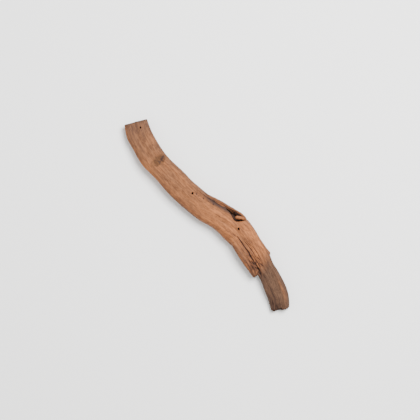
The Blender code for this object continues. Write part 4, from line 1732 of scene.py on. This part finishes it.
@dataclass(frozen=True)
class RootWoodFinish:
    """Bare, dry root wood: tan with darker fibres, grey on the lobe, painted dark in its cracks, holes and
    window for their shade.
    """

    tan: Tone = Tone((0.132, 0.053, 0.0220))
    pale: Tone = Tone((0.284, 0.097, 0.0298))
    brown: Tone = Tone((0.056, 0.026, 0.016), 0.5)
    ochre: Tone = Tone((0.082, 0.0315, 0.0092), 0.5)
    grey: Tone = Tone((0.0660, 0.0345, 0.0200), 0.45)
    dark: Colour = (0.022, 0.009, 0.007)
    roughness: float = 0.68
    bump_height: float = 0.00030
    bump_strength: float = 0.9
    gloss: float = 0.25

    def stretched(self, book: NodeBook, grain: Term, along: float, across: float, detail: float) -> Term:
        """Noise drawn out along the grain.

        Args:
            book: Writes the nodes.
            grain: The grain's own coordinates.
            along: Length of a cell in millimetres.
            across: Width and height of a cell in millimetres.
            detail: How many finer layers it has.

        Returns:
            The noise.
        """
        cells = {0: grain, 1: (1 / along, 1 / across, 1 / across)}
        scaled = book.node("ShaderNodeVectorMath", {"operation": "MULTIPLY"}, cells)
        look = {"Vector": scaled, "Scale": 1.0, "Detail": detail, "Roughness": 0.6}
        return book.node("ShaderNodeTexNoise", {}, look)

    def tone(self, book: NodeBook, fibre: Term, tone: Tone) -> Term:
        """A tone's shade and light, mixed by the fibres."""
        return book.mix(fibre, tone.shade(), tone.light())

    def parts(self, book: NodeBook, name: str) -> tuple[Term, Term, Term]:
        """The three numbers of a vector that the mesh carries.

        Args:
            book: Writes the nodes.
            name: The attribute's name.

        Returns:
            The three numbers as terms.
        """
        vector = book.node("ShaderNodeAttribute", {"attribute_name": name}, output="Vector")
        split = book.tree.nodes.new("ShaderNodeSeparateXYZ")
        book.tree.links.new(vector.socket, split.inputs[0])
        return Term(book, split.outputs[0]), Term(book, split.outputs[1]), Term(book, split.outputs[2])

    def colour(self, book: NodeBook, noises: dict[str, Term], fibre: Term, marks: dict[str, Term]) -> Term:
        """Lay the wood's colours over one another, from the bare tan to the cut face.

        Args:
            book: Writes the nodes.
            noises: The noises by name.
            fibre: 0 in a dark fibre and 1 in a pale one.
            marks: What the mesh carries, by name.

        Returns:
            The colour.
        """
        mottle, blot, streak = noises["mottle"], noises["blot"], noises["streak"]
        dash, pore = noises["dash"], noises["pore"]
        stained, weathered, peeled = marks["stained"], marks["weathered"], marks["peeled"]
        # Paler tone, with a painted highlight on the left rim and in the fork and painted shade low on the
        # left.
        paled = (marks["paling_and_light"] * 0.75 + (mottle - 0.5) * 1.1).ramp(0.0, 1.0)
        blotched = (stained * 1.35 + (blot - 0.5) * 1.9 * stained.ramp(0.0, 0.3)).ramp(0.1, 1.2)
        specked = (marks["speck"] * 1.3 + (blot - 0.5) * 0.9).ramp(0.25, 0.85)
        fine = {"Vector": noises["grain"], "Scale": 1.6, "Detail": 3.0, "Roughness": 0.7}
        rings = book.node("ShaderNodeTexNoise", {}, fine)
        colour = self.tone(book, fibre, self.tan)
        for share, over in (
            (paled, self.tone(book, fibre, self.pale)),
            (streak.ramp(0.60, 0.74) * 0.14 * (1 - weathered), self.brown.middle),
            (dash.ramp(0.62, 0.72) * 0.20, self.brown.middle),
            (blotched * 0.95, self.tone(book, fibre, self.ochre)),
            (stained * blot.ramp(0.52, 0.60) * pore.ramp(0.40, 0.55) * 0.8, self.brown.shade()),
            (weathered * (0.90 + 0.10 * mottle), self.tone(book, fibre, self.grey)),
            (peeled * (0.55 + 0.8 * streak).ramp(0.3, 1.0), self.tone(book, fibre, self.brown)),
            (peeled * streak.ramp(0.46, 0.56) * 0.6, self.dark),
            (marks["coarse"] * noises["thread"] * 0.42, self.dark),
            (specked * 0.9, self.dark),
            # Darkening that is mostly painted shade.
            (marks["aged_and_shaded"] * (1.25 - 0.9 * fibre), self.brown.middle),
            # Painted shade in the cracks, checks and furrows.
            (marks["crack_shade"] * 0.85, self.dark),
            # Painted shade in the cracks, holes and window.
            (marks["recess_shade"] * 0.94, book.mix(dash.ramp(0.42, 0.70), self.dark, self.brown.middle)),
            (marks["cut"] * (0.25 + 0.6 * rings), self.brown.light()),
        ):
            colour = book.mix(share, colour, over)
        return colour

    def material(self) -> bpy.types.Material:
        """Build the material.

        Returns:
            The material.
        """
        material, book = new_material("bare_root_wood")
        grain = book.node("ShaderNodeAttribute", {"attribute_name": "grain"}, output="Vector")
        marks = {"crack_shade": book.node("ShaderNodeAttribute", {"attribute_name": "crack_shade"}, output="Fac")}
        for layer, names in MARKS.items():
            marks.update(zip(names, self.parts(book, layer)))
        noises = {name: self.stretched(book, grain, *cells) for name, cells in NOISES.items()}
        streak, dash, pore, flake = (noises[name] for name in ("streak", "dash", "pore", "flake"))
        off_split = book.node("ShaderNodeMath", {"operation": "ABSOLUTE"}, {0: noises["split"] - 0.5})
        thread = 1 - off_split.ramp(0.0, 0.045)
        noises.update(grain=grain, thread=thread)
        long_fibre = (streak * 0.26 + dash * 0.20 + flake * 0.30 + pore * 0.24).ramp(0.40, 0.60)
        short_fibre = (dash * 0.55 + pore * 0.45).ramp(0.40, 0.60)
        fibre = long_fibre + marks["weathered"] * 0.8 * (short_fibre - long_fibre)
        height = streak * 0.5 + dash * 0.4 + pore * 0.25 - marks["coarse"] * thread * 1.2
        relief = {"Height": height, "Distance": self.bump_height, "Strength": self.bump_strength}
        looks = {
            "Base Color": self.colour(book, noises, fibre, marks),
            "Roughness": self.roughness + 0.14 * pore + 0.06 * marks["weathered"],
            "Normal": book.node("ShaderNodeBump", {}, relief),
            "Specular IOR Level": self.gloss,
        }
        book.sink("ShaderNodeOutputMaterial", book.node("ShaderNodeBsdfPrincipled", {}, looks))
        return material


@dataclass(frozen=True)
class FloorFinish:
    """The plain pale floor."""

    colour: Colour = (0.95, 0.95, 0.945)
    cloud_colour: Colour = (0.90, 0.90, 0.895)
    cloud_share: float = 0.04

    def material(self) -> bpy.types.Material:
        """Build the material.

        Returns:
            The material.
        """
        material, book = new_material("pale_floor")
        place = book.node("ShaderNodeTexCoord", {}, output="Object")
        cloud = book.node("ShaderNodeTexNoise", {}, {"Vector": place, "Scale": 3.0, "Detail": 2.0})
        colour = book.mix(cloud * self.cloud_share, self.colour, self.cloud_colour)
        shader = book.node("ShaderNodeBsdfPrincipled", {}, {"Base Color": colour, "Roughness": 0.9})
        book.sink("ShaderNodeOutputMaterial", shader)
        return material


@dataclass
class Studio:
    """Floor, soft lights and the camera above the root."""

    lens: float = 100.0
    sensor: float = 36.0
    focus_height: float = 15.0
    floor_size: float = 6.0
    air_colour: tuple[float, float, float, float] = (1.0, 0.99, 0.97, 1.0)
    air_strength: float = 0.72

    def picture_direction(self, right: float, up: float, out: float) -> Vector:
        """A direction given in the picture, right, up and towards the camera, as a unit vector."""
        return (Matrix.Rotation(LONG_AXIS_TURN, 3, "Z") @ Vector((right, up, out))).normalized()

    def centre(self) -> Vector:
        """What lies at the middle of the frame."""
        x, y = (FRAME_MIDDLE[axis] - FOOTPRINT[axis] for axis in range(2))
        return Vector((x * MM, y * MM, self.focus_height * MM))

    def camera(self) -> None:
        """Look straight down, turned so that the root lies in the frame as in the photograph."""
        camera = bpy.data.cameras.new("camera")
        camera.lens = self.lens
        camera.sensor_width = self.sensor
        camera.clip_start = 0.05
        camera.clip_end = 20.0
        width = PHOTO_SIDE * PIXEL_MM * MM
        distance = width * self.lens / self.sensor
        thing = add_object("camera", camera)
        thing.matrix_world = Matrix.Translation(self.centre() + Vector((0, 0, distance))) @ Matrix.Rotation(
            LONG_AXIS_TURN, 4, "Z"
        )
        bpy.context.scene.camera = thing

    def light(self, name: str, direction: Vector, distance: float, size: float, power: float) -> None:
        """One soft square light that faces the root.

        Args:
            name: The light's name.
            direction: From the root to the light, as a unit vector.
            distance: How far off it stands, in metres.
            size: Its side in metres.
            power: Its watts.
        """
        lamp = bpy.data.lights.new(name, "AREA")
        lamp.shape = "SQUARE"
        lamp.size = size
        lamp.energy = power
        thing = add_object(name, lamp)
        turn = direction.to_track_quat("Z", "Y").to_matrix().to_4x4()
        thing.matrix_world = Matrix.Translation(self.centre() + direction * distance) @ turn

    def build(self) -> None:
        """Set up everything that isn't part of the root."""
        self.camera()
        mesh = bpy.data.meshes.new("floor")
        half = self.floor_size / 2
        corners = [(-half, -half, 0), (half, -half, 0), (half, half, 0), (-half, half, 0)]
        mesh.from_pydata(corners, [], [(0, 1, 2, 3)])
        mesh.materials.append(FloorFinish().material())
        floor = add_object("floor", mesh)
        floor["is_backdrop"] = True
        self.light("key_light", self.picture_direction(0.5, 0.5, 1.3), distance=1.6, size=0.8, power=68.0)
        self.light("fill_light", self.picture_direction(-1.0, 0.1, 1.0), distance=1.8, size=1.4, power=9.0)
        world = bpy.data.worlds.new("studio_air")
        world.use_nodes = True
        book = NodeBook(world.node_tree)
        air = {"Color": self.air_colour, "Strength": self.air_strength}
        book.sink("ShaderNodeOutputWorld", book.node("ShaderNodeBackground", {}, air))
        bpy.context.scene.world = world


def main() -> None:
    """Build the root and its stage, and report each piece."""
    logging.basicConfig(level=logging.INFO, format="%(message)s")
    Studio().build()
    wood_finish = RootWoodFinish().material()
    grown = WoodBody()
    wood = grown.build()
    grown.dress(wood, wood_finish)
    slivers = Slivers()
    for sliver in SLIVERS:
        finish_piece(slivers.build(sliver), wood_finish)
    fibres = TornFibres()
    tree = fibres.tree(wood_finish)
    for pit in PITS:
        finish_piece(fibres.build(pit, tree), wood_finish)
    corners = {"cad": frame_corners, "visual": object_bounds()}
    boxes = {name: [list(corner) for corner in pair] for name, pair in corners.items()}
    LOG.info("frame box %s, dressed box %s", boxes["cad"], boxes["visual"])


if __name__ == "__main__":
    main()
